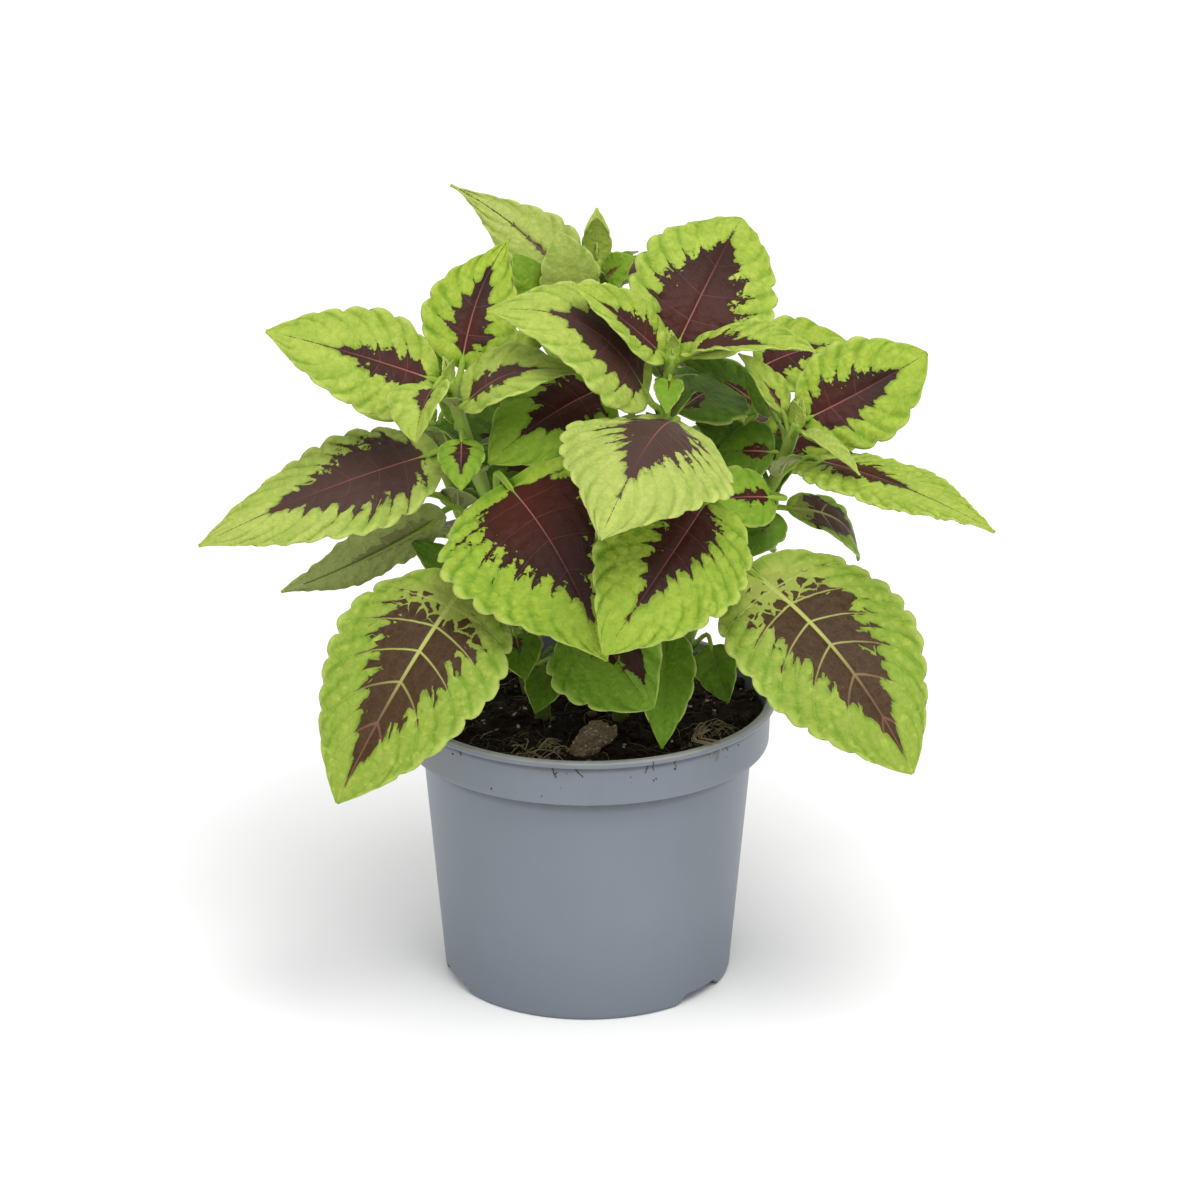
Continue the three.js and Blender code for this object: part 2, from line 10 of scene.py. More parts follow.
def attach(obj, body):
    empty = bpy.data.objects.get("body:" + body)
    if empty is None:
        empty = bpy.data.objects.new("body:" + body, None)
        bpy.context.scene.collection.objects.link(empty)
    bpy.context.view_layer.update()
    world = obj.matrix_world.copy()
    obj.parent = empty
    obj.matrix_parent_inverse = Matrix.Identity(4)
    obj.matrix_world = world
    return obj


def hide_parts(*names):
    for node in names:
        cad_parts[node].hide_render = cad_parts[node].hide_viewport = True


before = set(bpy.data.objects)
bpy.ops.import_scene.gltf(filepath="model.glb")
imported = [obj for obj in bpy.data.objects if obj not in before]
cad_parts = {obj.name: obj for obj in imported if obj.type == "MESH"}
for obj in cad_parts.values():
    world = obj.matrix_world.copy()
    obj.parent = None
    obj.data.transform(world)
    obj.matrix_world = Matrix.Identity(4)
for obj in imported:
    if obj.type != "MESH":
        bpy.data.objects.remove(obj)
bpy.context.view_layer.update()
MM = 0.001
TEETH_PITCH = 7.4       # length of blade for one tooth of each edge
TEETH_RANGE = 4, 11     # fewest and most teeth of one edge
CREST = 0.62            # where a tooth's crest stands between two notches
STEM_RADII = 2.9, 1.7   # at the soil and at the tip
STEM_STEPS = 90
HAIRS_A_STEM = 260
LEAF_MARKS = "leaf_plane", "leaf_vein", "leaf_mark", "leaf_look", "leaf_edge"


# ---- small helpers
def unit(v):
    v = np.asarray(v, float)
    return v / np.linalg.norm(v)


def unit_rows(v):
    return v / np.maximum(np.linalg.norm(v, axis=-1, keepdims=True), 1e-9)


def smooth(low, high, x):
    t = np.clip((x - low) / (high - low), 0, 1)
    return t * t * (3 - 2 * t)


def spot(radius, angle):
    """x and y at a radius and an angle round the upright axis."""
    return radius * math.cos(angle), radius * math.sin(angle)


def turned(angle):
    """The matrix of a turn about the upright axis."""
    c, s = math.cos(angle), math.sin(angle)
    return np.array([[c, -s, 0], [s, c, 0], [0, 0, 1]])


def mesh_grid(a, b):
    """Each value of a with each value of b, as two flat rows."""
    return (g.ravel() for g in np.meshgrid(a, b, indexing="ij"))


def rows_of(*columns):
    """Rows of numbers from columns, of which some may be one number for all rows."""
    return np.stack(np.broadcast_arrays(*columns), 1)


def linear(colour):
    """A colour given as 0 to 255 on screen, as Blender's linear colour."""
    def one(c):
        c /= 255
        return c / 12.92 if c <= 0.04045 else ((c + 0.055) / 1.055) ** 2.4
    return (*map(one, colour), 1)


def cell_domes(x, y, seed):
    """Domes over the cells of a shaken square grid of side 1: 0 along the cells' borders, 1 at the middle."""
    column, row = np.floor(x), np.floor(y)
    nearest = np.full(np.shape(x), 9.0)
    second = nearest.copy()
    for i in (-1, 0, 1):
        for j in (-1, 0, 1):
            a, b = column + i, row + j
            mixed = a * 127.1 + b * 311.7
            shake = [np.modf(np.abs(np.sin(mixed + seed * k) * 43758.5))[0] for k in (1.3, 2.9)]
            away = np.hypot(a + 0.15 + 0.7 * shake[0] - x, b + 0.15 + 0.7 * shake[1] - y)
            second = np.minimum(second, np.maximum(away, nearest))
            nearest = np.minimum(nearest, away)
    return np.clip((second - nearest) / 0.75, 0, 1) ** 0.7


class Curve:
    """The centripetal Catmull-Rom curve through some points, the one that the solids use."""

    def __init__(self, points):
        self.points = [np.asarray(p, float) for p in points]

    def at(self, t):
        p = self.points
        last = len(p) - 1
        i = min(int(last * t), last - 1)
        w = last * t - i
        x0 = p[i - 1] if i > 0 else 2 * p[0] - p[1]
        x1, x2 = p[i], p[i + 1]
        x3 = p[i + 2] if i + 2 <= last else 2 * p[last] - p[last - 1]
        d0, d1, d2 = (max(np.linalg.norm(b - a), 1e-4) ** 0.5 for a, b in ((x0, x1), (x1, x2), (x2, x3)))
        t1 = ((x1 - x0) / d0 - (x2 - x0) / (d0 + d1) + (x2 - x1) / d1) * d1
        t2 = ((x2 - x1) / d1 - (x3 - x1) / (d1 + d2) + (x3 - x2) / d2) * d1
        return x1 + t1 * w + (-3 * x1 + 3 * x2 - 2 * t1 - t2) * w ** 2 + (2 * x1 - 2 * x2 + t1 + t2) * w ** 3

    def at_height(self, z):
        low, high = 0.0, 1.0
        for _ in range(30):
            middle = (low + high) / 2
            low, high = (middle, high) if self.at(middle)[2] < z else (low, middle)
        return self.at(low)

    def path(self, steps, end=1):
        return [self.at(t) for t in np.linspace(0, end, steps)]


def link(name, data):
    """A new object of some data, in the scene."""
    item = bpy.data.objects.new(name, data)
    bpy.context.scene.collection.objects.link(item)
    return item


class Shell:
    """Collects the vertices, faces and named vertex attributes of one piece."""

    def __init__(self, *names):
        self.names = names
        self.points, self.faces, self.values = [], [], []
        self.count = 0

    def add(self, points, faces, *values):
        points = np.asarray(points, float).reshape(-1, 3)
        self.points.append(points)
        for face in faces:
            self.faces.append([self.count + i for i in face])
        block = np.zeros((len(points), len(values), 3))
        for i, value in enumerate(values):
            block[:, i] = value
        self.values.append(block)
        self.count += len(points)

    def piece(self, name, material, slot, *nodes):
        mesh = bpy.data.meshes.new(name)
        mesh.from_pydata((np.concatenate(self.points) * MM).tolist(), [], self.faces)
        values = np.concatenate(self.values)
        for i, attribute in enumerate(self.names):
            data = mesh.attributes.new(attribute, "FLOAT_VECTOR", "POINT").data
            data.foreach_set("vector", values[:, i].astype(np.float32).ravel())
        mesh.shade_smooth()
        mesh.materials.append(material)
        piece = link(name, mesh)
        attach(piece, "root")
        if nodes:
            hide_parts(*nodes)
        return piece


def grid_faces(rows, columns, start=0, closed=False, flip=False):
    """The faces of a grid whose first vertex is start; closed joins each row's end to its beginning."""
    faces = []
    for i in range(rows - 1):
        for j in range(columns if closed else columns - 1):
            k = (j + 1) % columns
            a, b = start + i * columns + j, start + i * columns + k
            face = (a, b, b + columns, a + columns)
            faces.append(face[::-1] if flip else face)
    return faces


def slab_faces(rows, columns):
    """The faces of a slab: an upper grid, the lower grid that comes after it, and the strip round them."""
    under = rows * columns
    border = [*range(columns), *range(2 * columns - 1, under, columns),
              *range(under - 2, under - columns - 1, -1), *range(under - 2 * columns, 0, -columns)]
    strip = [(b, a, a + under, b + under) for a, b in zip(border, border[1:] + border[:1])]
    return grid_faces(rows, columns) + grid_faces(rows, columns, under, flip=True) + strip


def tube(path, radii, sides, section=None):
    """A closed tube along a path, its two ends capped: (points, faces, angle and length along it)."""
    path = np.asarray(path, float)
    tangent = unit_rows(np.gradient(path, axis=0))
    normal = unit(np.cross(tangent[0], (0.3, 0.9, 0.2)))
    rings, marks = [], []
    length = np.concatenate([[0], np.cumsum(np.linalg.norm(np.diff(path, axis=0), axis=1))])
    angle = np.arange(sides) * 2 * math.pi / sides
    shape = np.ones(sides) if section is None else section(angle)
    for p, t, r, along in zip(path, tangent, radii, length):
        normal = unit(normal - t * normal.dot(t))
        out = np.cos(angle)[:, None] * normal + np.sin(angle)[:, None] * np.cross(t, normal)
        rings.append(p + r * shape[:, None] * out)
        marks.append(rows_of(angle, along, 0))
    faces = grid_faces(len(path), sides, closed=True)
    last = (len(path) - 1) * sides
    faces += [tuple(range(sides))[::-1], tuple(last + i for i in range(sides))]
    return np.concatenate(rings), faces, np.concatenate(marks)


# ---- materials
class Nodes:
    """A material's node tree, with short calls for the nodes used here. A value may be a number, another
    node's output, a vector as a list, or a colour as a tuple of 0 to 255 on screen."""

    def __init__(self, name):
        self.material = bpy.data.materials.new(name)
        self.material.use_nodes = True
        self.tree = self.material.node_tree
        self.shader = self.tree.nodes["Principled BSDF"]

    def put(self, socket, value):
        if isinstance(value, bpy.types.NodeSocket):
            self.tree.links.new(value, socket)
        else:
            socket.default_value = linear(value) if isinstance(value, tuple) else value

    def node(self, kind, inputs=(), **settings):
        """A new node with its settings; inputs are pairs of a socket's name or number and its value."""
        node = self.tree.nodes.new("ShaderNode" + kind)
        for key, value in settings.items():
            setattr(node, key, value)
        for key, value in inputs:
            self.put(node.inputs[key], value)
        return node

    def math(self, operation, a, b=0.0, c=0.0):
        return self.node("Math", enumerate((a, b, c)), operation=operation).outputs[0]

    def times(self, a, b):
        return self.math("MULTIPLY", a, b)

    def minus(self, a, b):
        return self.math("SUBTRACT", a, b)

    def rest(self, share):
        return self.minus(1.0, share)

    def larger(self, a, b):
        return self.math("MAXIMUM", a, b)

    def madd(self, a, b, c):
        """a times b, plus c."""
        return self.math("MULTIPLY_ADD", a, b, c)

    def varied(self, base, source, amount):
        """A value moved up and down by half an amount, as a source from 0 to 1 says."""
        return self.madd(self.minus(source, 0.5), amount, base)

    def off_half(self, count):
        """How far a count's fraction lies from a half."""
        return self.math("ABSOLUTE", self.minus(self.math("FRACT", count), 0.5))

    def step(self, value, low, high, to_low=0.0, to_high=1.0):
        inputs = enumerate((value, low, high, to_low, to_high))
        return self.node("MapRange", inputs, interpolation_type="SMOOTHSTEP").outputs[0]

    def split(self, vector):
        return self.node("SeparateXYZ", [(0, vector)]).outputs

    def combine(self, x, y, z):
        return self.node("CombineXYZ", enumerate((x, y, z))).outputs[0]

    def scaled(self, vector, x, y, z):
        return self.node("VectorMath", enumerate((vector, [x, y, z])), operation="MULTIPLY").outputs[0]

    def attribute(self, name):
        return self.node("Attribute", attribute_name=name).outputs["Vector"]

    def parts(self, name):
        return self.split(self.attribute(name))

    def place(self):
        """Where a point of the piece lies, in metres."""
        return self.node("TexCoord").outputs["Object"]

    def noise(self, vector, scale, detail=2.0, roughness=0.5, output="Fac"):
        inputs = ("Vector", vector), ("Scale", scale), ("Detail", detail), ("Roughness", roughness)
        return self.node("TexNoise", inputs).outputs[output]

    def borders(self, vector, scale):
        """How far a point lies from the borders of a net of cells."""
        inputs = ("Vector", vector), ("Scale", scale)
        return self.node("TexVoronoi", inputs, feature="DISTANCE_TO_EDGE").outputs["Distance"]

    def patches(self, vector, scale):
        """A number of its own for each cell of a net, from 0 to 1."""
        colour = self.node("TexVoronoi", (("Vector", vector), ("Scale", scale))).outputs["Color"]
        return self.node("SeparateColor", [(0, colour)]).outputs[0]

    def warp(self, vector, scale, amount):
        """The place, shifted by a noise, so that a net's straight borders come out bent."""
        inputs = self.noise(vector, scale, output="Color"), [amount, amount, 0], vector
        return self.node("VectorMath", enumerate(inputs), operation="MULTIPLY_ADD").outputs[0]

    def mix(self, share, a, b):
        return self.node("Mix", ((0, share), (6, a), (7, b)), data_type="RGBA").outputs[2]

    def layers(self, colour, *more):
        """A colour with more colours laid over it, each given as (share, colour)."""
        for share, over in more:
            colour = self.mix(share, colour, over)
        return colour

    def bump(self, height, distance, strength, below=None):
        inputs = [("Strength", strength), ("Distance", distance), ("Height", height)]
        if below is not None:
            inputs.append(("Normal", below))
        return self.node("Bump", inputs).outputs[0]

    def finish(self, colour, roughness, shine, normal=None):
        inputs = [("Base Color", colour), ("Roughness", roughness), ("Specular IOR Level", shine)]
        if normal is not None:
            inputs.append(("Normal", normal))
        for key, value in inputs:
            self.put(self.shader.inputs[key], value)
        return self.material


class LeafNodes(Nodes):
    """A leaf's nodes. leaf_plane is the place on the flat blade in mm and a number for the leaf; leaf_vein
    is the count of notches (Blade.phase), the depth in the quilting's hollows and the place along the blade;
    leaf_mark is how far a point lies inside the maroon middle, inside the dark midrib line, and on the under
    side; leaf_look is the leaf's age, paleness and painted shade, which paints leaves deep in the plant
    darker; leaf_edge is the way from midrib to edge, the share of stalk, and the room for a ragged edge of
    the maroon."""

    def __init__(self, name):
        super().__init__(name)
        self.plane = self.attribute("leaf_plane")
        self.x, _, self.seed = self.split(self.plane)
        self.phase, self.hollow, self.along = self.parts("leaf_vein")
        self.field, self.line, self.under = self.parts("leaf_mark")
        self.age, self.pale, self.shade = self.parts("leaf_look")
        self.edge, self.stalk, self.room = self.parts("leaf_edge")
        self.young = self.rest(self.age)
        self.near_base = self.times(self.step(self.along, 0.4, 0.05), self.age)
        self.fine = self.noise(self.plane, 1.3, 3, 0.6)
        self.broad = self.noise(self.plane, 0.13, 2)
        self.network = self.borders(self.warp(self.plane, 0.6, 1.1), 0.42)
        self.mesh_vein = self.rest(self.step(self.network, 0.0, 0.09))
        aslant = self.combine(self.times(self.phase, 1.5), self.times(self.x, 0.26), self.seed)
        self.leaning = self.warp(aslant, 0.8, 0.6)
        self.blocks = self.patches(self.leaning, 1.0)
        self.off_vein = self.off_half(self.madd(self.phase, 0.5, 100.5))
        self.vein_off_mm = self.times(self.off_vein, 2 * TEETH_PITCH)
        self.fading = self.madd(self.edge, -0.8, 1.0)


def leaf_middle(n):
    """The share of maroon, and that of maroon and a halo round it. The maroon steps in past each side vein,
    spikes run out along them, its edge is ragged, and near an old leaf's base it breaks up into islands."""
    past = n.math("FRACT", n.math("ADD", n.phase, 100.0))
    off_notch = n.off_half(n.math("ADD", n.phase, 100.5))
    spike = n.times(n.step(off_notch, 0.3, 0.0, -0.05, 0.09), n.madd(n.age, -0.6, 1.0))
    long_spike = n.step(n.off_vein, 0.12, 0.0, 0.0, 0.08)
    uneven = n.varied(n.math("ADD", spike, long_spike), past, 0.12)
    small_blocks = n.patches(n.leaning, 2.3)
    waves = n.noise(n.plane, 0.22, 1)
    for source, amount in ((n.blocks, 0.2), (small_blocks, 0.05), (waves, 0.3), (n.fine, 0.02)):
        uneven = n.varied(uneven, source, amount)
    freckled = n.times(n.step(n.noise(n.plane, 0.07, 1), 0.46, 0.54), n.young)
    freckles = n.times(n.minus(n.noise(n.plane, 0.75, 1), 0.5), freckled)
    ragged = n.madd(n.madd(freckles, 0.5, uneven), n.room, n.field)
    islands = n.borders(n.warp(n.plane, 0.4, 2.5), 0.24)
    gap = n.minus(n.step(n.along, 0.27, 0.04, -0.07, 0.32), islands)
    whole = n.rest(n.times(n.step(gap, 0.0, 0.03), n.age))
    return n.times(n.step(ragged, -0.006, 0.012), whole), n.step(ragged, -0.1, 0.0)


def leaf_veins(n):
    """The shares of side veins, of the midrib and of both. The side veins lie on the even counts and narrow
    towards the edge, and the midrib narrows towards the tip."""
    width = n.times(n.madd(n.age, 0.6, 0.28), n.fading)
    vein = n.rest(n.step(n.vein_off_mm, 0.0, n.madd(n.near_base, 0.35, width)))
    width = n.madd(n.madd(n.age, 0.8, 0.28), n.madd(n.along, -0.8, 1.0), 0.05)
    midrib = n.rest(n.step(n.math("ABSOLUTE", n.x), n.times(width, 0.5), width))
    return vein, midrib, n.larger(n.times(vein, 0.75), midrib)


def leaf_lime(n, middle, halo, veins):
    # painted shade: the quilting's hollows are painted a darker green, less on pale leaves
    painted_furrow_shade = n.times(n.step(n.hollow, 0.1, 0.75), n.madd(n.pale, -0.4, 0.7))
    mottle = n.noise(n.plane, 0.42, 2)
    dark_mottle = n.times(n.step(mottle, 0.46, 0.3), n.madd(n.pale, -0.28, 0.42))
    light_mottle = n.times(n.step(mottle, 0.54, 0.7), n.madd(n.shade, -0.28, 0.28))
    base_tint = n.times(n.times(n.age, n.step(n.along, 0.4, 0.1)), n.step(n.edge, 0.9, 0.4))
    vein_share = n.times(veins, n.madd(n.near_base, 0.4, n.madd(n.age, 0.3, 0.06)))
    vein_colour = n.mix(n.age, (132, 156, 44), (176, 184, 100))
    # maroon feathers that run out along a young leaf's side veins
    feather = n.times(n.step(n.vein_off_mm, 0.6, 0.1), n.step(n.madd(n.blocks, 0.2, n.field), -0.34, 0.0))
    feather = n.times(feather, n.times(n.young, n.step(n.line, -0.9, -0.6)))
    return n.layers(
        n.mix(n.broad, (132, 159, 42), (170, 187, 66)),
        (n.times(n.pale, 0.9), (172, 182, 98)),
        (n.times(n.age, 0.7), (132, 151, 62)),
        # painted shade: a leaf's shade value paints it a deeper, fresher green, and above a half a darker
        # olive, for leaves deep in the plant
        (n.shade, (76, 130, 30)),
        (n.step(n.shade, 0.5, 1.1), (62, 82, 20)),
        (n.varied(0.15, n.blocks, 0.3), (112, 148, 30)),
        (painted_furrow_shade, (88, 132, 24)),
        (n.times(n.mesh_vein, 0.2), (96, 124, 20)),
        (dark_mottle, (104, 142, 30)),
        (light_mottle, (184, 200, 84)),
        # painted highlight: a lighter rim along the blade's outermost edge
        (n.times(n.step(n.edge, 0.88, 1.0), 0.45), (196, 208, 112)),
        (n.times(n.minus(halo, middle), 0.5), (78, 104, 18)),
        (n.times(base_tint, 0.6), (164, 172, 84)),
        (vein_share, vein_colour),
        (n.times(feather, 0.85), (70, 50, 26)))


def leaf_maroon(n, vein, midrib):
    """Deep maroon that darkens towards the tip, grey-purple where the leaf is pale as a painted sheen of the
    sky's reflection, and brown where it is old.
    """
    brown = n.mix(n.noise(n.plane, 0.3, 3), (50, 34, 20), (76, 54, 30))
    young_vein = n.layers(
        (150, 160, 84),
        (n.step(n.along, 0.02, 0.1), n.mix(n.step(n.along, 0.1, 0.7), (156, 96, 90), (86, 44, 46))))
    old_vein = n.mix(n.step(n.along, 0.3, 0.7), (184, 190, 104), (118, 82, 66))
    side_glow = n.times(vein, n.times(n.fading, n.madd(n.age, 0.45, 0.42)))
    glow = n.larger(side_glow, n.times(midrib, n.madd(n.along, -0.3, 0.9)))
    return n.layers(
        n.mix(n.step(n.along, 0.1, 0.65), (70, 28, 20), (42, 20, 14)),
        (n.times(n.step(n.field, 0.3, 0.0), 0.6), (42, 22, 12)),
        # painted sheen: on pale leaves, which face the sky, the maroon is painted grey-purple as the sky's
        # reflection
        (n.times(n.step(n.pale, 0.1, 0.9), 0.8), (80, 61, 55)),
        (n.times(n.fine, 0.35), (54, 30, 20)),
        (n.age, brown),
        (n.times(n.mesh_vein, 0.14), n.mix(n.age, (84, 40, 38), (110, 84, 50))),
        (glow, n.mix(n.age, young_vein, old_vein)))


def leaf_upper(n, middle, halo, vein, midrib, veins):
    """The upper side: lime, the maroon over it, and the dark line of the midrib beyond the maroon."""
    line = n.step(n.varied(n.line, n.fine, 0.9), -0.05, 0.2)
    line = n.times(line, n.rest(n.times(n.age, n.step(n.along, 0.7, 0.5))))
    return n.layers(
        leaf_lime(n, middle, halo, veins),
        (middle, leaf_maroon(n, vein, midrib)),
        (n.times(line, n.rest(middle)), (62, 44, 24)))


def leaf_lower(n, middle, veins):
    return n.layers(
        n.mix(n.broad, (126, 136, 78), (152, 162, 100)),
        (n.times(n.pale, 0.85), (158, 180, 62)),
        (n.times(n.mesh_vein, 0.3), (156, 162, 104)),
        (n.times(middle, 0.55), (88, 74, 54)),
        (n.times(veins, 0.75), (168, 174, 118)))


def leaf_material():
    n = LeafNodes("coleus leaf")
    middle, halo = leaf_middle(n)
    vein, midrib, veins = leaf_veins(n)
    colour = n.layers(
        leaf_upper(n, middle, halo, vein, midrib, veins),
        (n.under, leaf_lower(n, middle, veins)),
        (n.stalk, n.mix(n.noise(n.plane, 0.2), (120, 152, 44), (154, 178, 70))))
    roughness = n.varied(n.madd(middle, -0.06, 0.54), n.fine, 0.16)
    quilted = n.times(n.step(n.network, 0.0, 0.35), n.madd(middle, -0.5, 1.0))
    grain = n.madd(n.step(n.borders(n.plane, 1.1), 0.0, 0.35), 0.6, n.noise(n.plane, 4.0, 2))
    bumped = n.bump(grain, 0.00004, 0.5, n.bump(quilted, 0.00015, 0.8))
    return n.finish(colour, roughness, 0.14, bumped)


def stem_material():
    """Stems: stem_mark is the angle round, the length along in mm and a number for the stem; stem_look is
    the share of a joint's dark ring, of a hair and of wood near the soil."""
    n = Nodes("coleus stem")
    mark = n.attribute("stem_mark")
    ring, hair, wood = n.parts("stem_look")
    streak = n.noise(n.scaled(mark, 2.2, 0.12, 1.0), 1.0, 3, 0.6)
    spots = n.noise(n.scaled(mark, 3.0, 1.4, 1.0), 1.0, 2)
    green = n.layers(
        n.mix(streak, (122, 156, 42), (158, 184, 78)),
        (n.times(n.step(spots, 0.6, 0.8), 0.2), (82, 54, 38)),
        (n.times(ring, 0.25), (92, 64, 42)),
        (n.times(wood, 0.8), (70, 72, 32)),
        (hair, (170, 178, 140)))
    return n.finish(green, n.madd(spots, 0.2, 0.42), 0.4, n.bump(streak, 0.0002, 0.6))


def soil_material():
    """Soil and what lies in it: soil_look is the share of fibre colour, of pale grit and a random tone."""
    n = Nodes("potting soil")
    place = n.place()
    fibre, grit, tone = n.parts("soil_look")
    grain = n.noise(place, 900.0, 4, 0.7)
    colour = n.layers(
        n.mix(grain, (7, 6, 5), (36, 28, 21)),
        (n.times(n.step(n.noise(place, 190.0, 3), 0.5, 0.75), 0.6), (48, 37, 28)),
        (n.times(tone, 0.5), (66, 50, 36)),
        (fibre, n.mix(tone, (78, 62, 44), (186, 168, 134))),
        (grit, (196, 190, 176)))
    return n.finish(colour, 0.92, 0.2, n.bump(grain, 0.0005, 1.0))


def bark_material():
    n = Nodes("bark flake")
    place = n.place()
    layers = n.noise(n.scaled(place, 1.0, 1.0, 3.0), 420.0, 4, 0.65)
    flecks = n.step(n.noise(place, 1100.0, 2), 0.6, 0.68)
    colour = n.layers(n.mix(layers, (64, 49, 36), (178, 154, 128)), (flecks, (214, 206, 192)))
    return n.finish(colour, 0.85, 0.25, n.bump(layers, 0.0006, 1.0))


def pot_material():
    """Moulded grey plastic: faint flow marks, a dull bloom, a painted highlight on the lip's top, dust that
    soil leaves on the collar, a patch on the collar's left that is a soil smear with the leaf's shadow
    painted in, painted shade towards the foot, and painted shade in the grooves under the lip and the collar."""
    n = Nodes("grey pot plastic")
    place = n.place()
    x, y, z = n.split(n.scaled(place, 1000.0, 1000.0, 1000.0))
    radius = n.math("SQRT", n.math("ADD", n.times(x, x), n.times(y, y)))
    cloud = n.noise(place, 26.0, 3)
    flow = n.noise(n.scaled(place, 1.0, 1.0, 0.12), 160.0, 2)
    smear = n.noise(place, 210.0, 3, 0.6)

    outer = n.step(radius, 56.4, 57.0)
    # painted highlight: the outer top of the lip is painted lighter, unevenly by the smear noise
    painted_lip_highlight = n.times(n.times(outer, n.step(z, 92.1, 92.9)), n.madd(smear, 0.6, 0.45))
    stain = n.times(n.step(z, 91.6, 92.4), n.step(radius, 57.9, 57.2))
    stain = n.times(stain, n.step(smear, 0.35, 0.55))
    # painted shade: the grooves under the lip's overhang and under the collar's edge are painted darker,
    # unevenly by the smear noise
    under_lip = n.times(n.step(z, 88.9, 90.2), n.step(z, 91.4, 91.0))
    under_collar = n.times(n.step(z, 72.6, 76.0), n.step(z, 78.1, 77.9))
    painted_crease_shade = n.larger(n.times(outer, n.times(under_lip, 0.6)), n.times(under_collar, 0.55))
    dust = n.step(z, 74.0, 86.0)
    specks = n.times(n.step(n.noise(place, 420.0, 3, 0.7), 0.68, 0.74), dust)
    dust_film_and_shadow = n.times(n.step(n.noise(place, 70.0, 3), 0.5, 0.8), n.times(dust, 0.3))
    # the collar's left patch is a soil smear with the shadow of the leaf above it painted in
    left_side = n.times(n.step(x, -34.0, -56.0), n.step(z, 76.0, 80.0))
    dust_film_and_shadow = n.larger(dust_film_and_shadow, n.times(left_side, n.madd(smear, 0.7, 0.25)))

    grey = n.layers(
        n.mix(cloud, (112, 120, 130), (122, 129, 139)),
        (n.times(flow, 0.22), (106, 114, 125)),
        # painted shade: the wall darkens towards the foot
        (n.times(n.step(z, 42.0, 0.0), 0.45), (98, 107, 119)),
        (painted_lip_highlight, (166, 166, 163)),
        (n.times(specks, 0.6), (70, 62, 52)),
        (dust_film_and_shadow, (104, 100, 92)),
        (n.times(stain, 0.7), (86, 80, 62)),
        (n.times(painted_crease_shade, n.madd(smear, 0.8, 0.6)), (58, 60, 62)))
    bumped = n.bump(n.noise(place, 2600.0, 2), 0.00004, 0.5, n.bump(flow, 0.0002, 0.25))
    return n.finish(grey, n.madd(cloud, 0.16, 0.36), 0.45, bumped)


LEAF = leaf_material()
STEM = stem_material()
SOIL = soil_material()
BARK = bark_material()
POT = pot_material()

# ---- stems and leaves, as the solids have them
# A stem is its points from the soil up, and the pair of leaves that closes it: which way it points in
# degrees, its length and its width.
STEMS = {
    "stem_centre": ([[8, -6, 66], [13, -9, 110], [18, -13, 150], [23, -17, 185], [26, -19, 211]], 100, 7, 5),
    "stem_left": (
        [[-12, -4, 66], [-17, -8, 110], [-27, -15, 150], [-36, -21, 182], [-42, -26, 205]], 130, 7, 5),
    "stem_right": ([[20, 2, 66], [30, 1, 107], [43, -1, 138], [57, -3, 162], [65, -6, 185]], 60, 8, 6),
    "stem_back": ([[0, 14, 66], [1, 22, 110], [2, 32, 150], [3, 38, 188], [3, 42, 224]], 90, 15, 10),
    "stem_back_left": ([[-14, 14, 66], [-24, 26, 105], [-39, 39, 135], [-51, 48, 168]], 120, 9, 6),
    "stem_back_right": ([[15, 17, 66], [27, 28, 105], [42, 42, 135], [53, 50, 170]], 40, 9, 6),
}
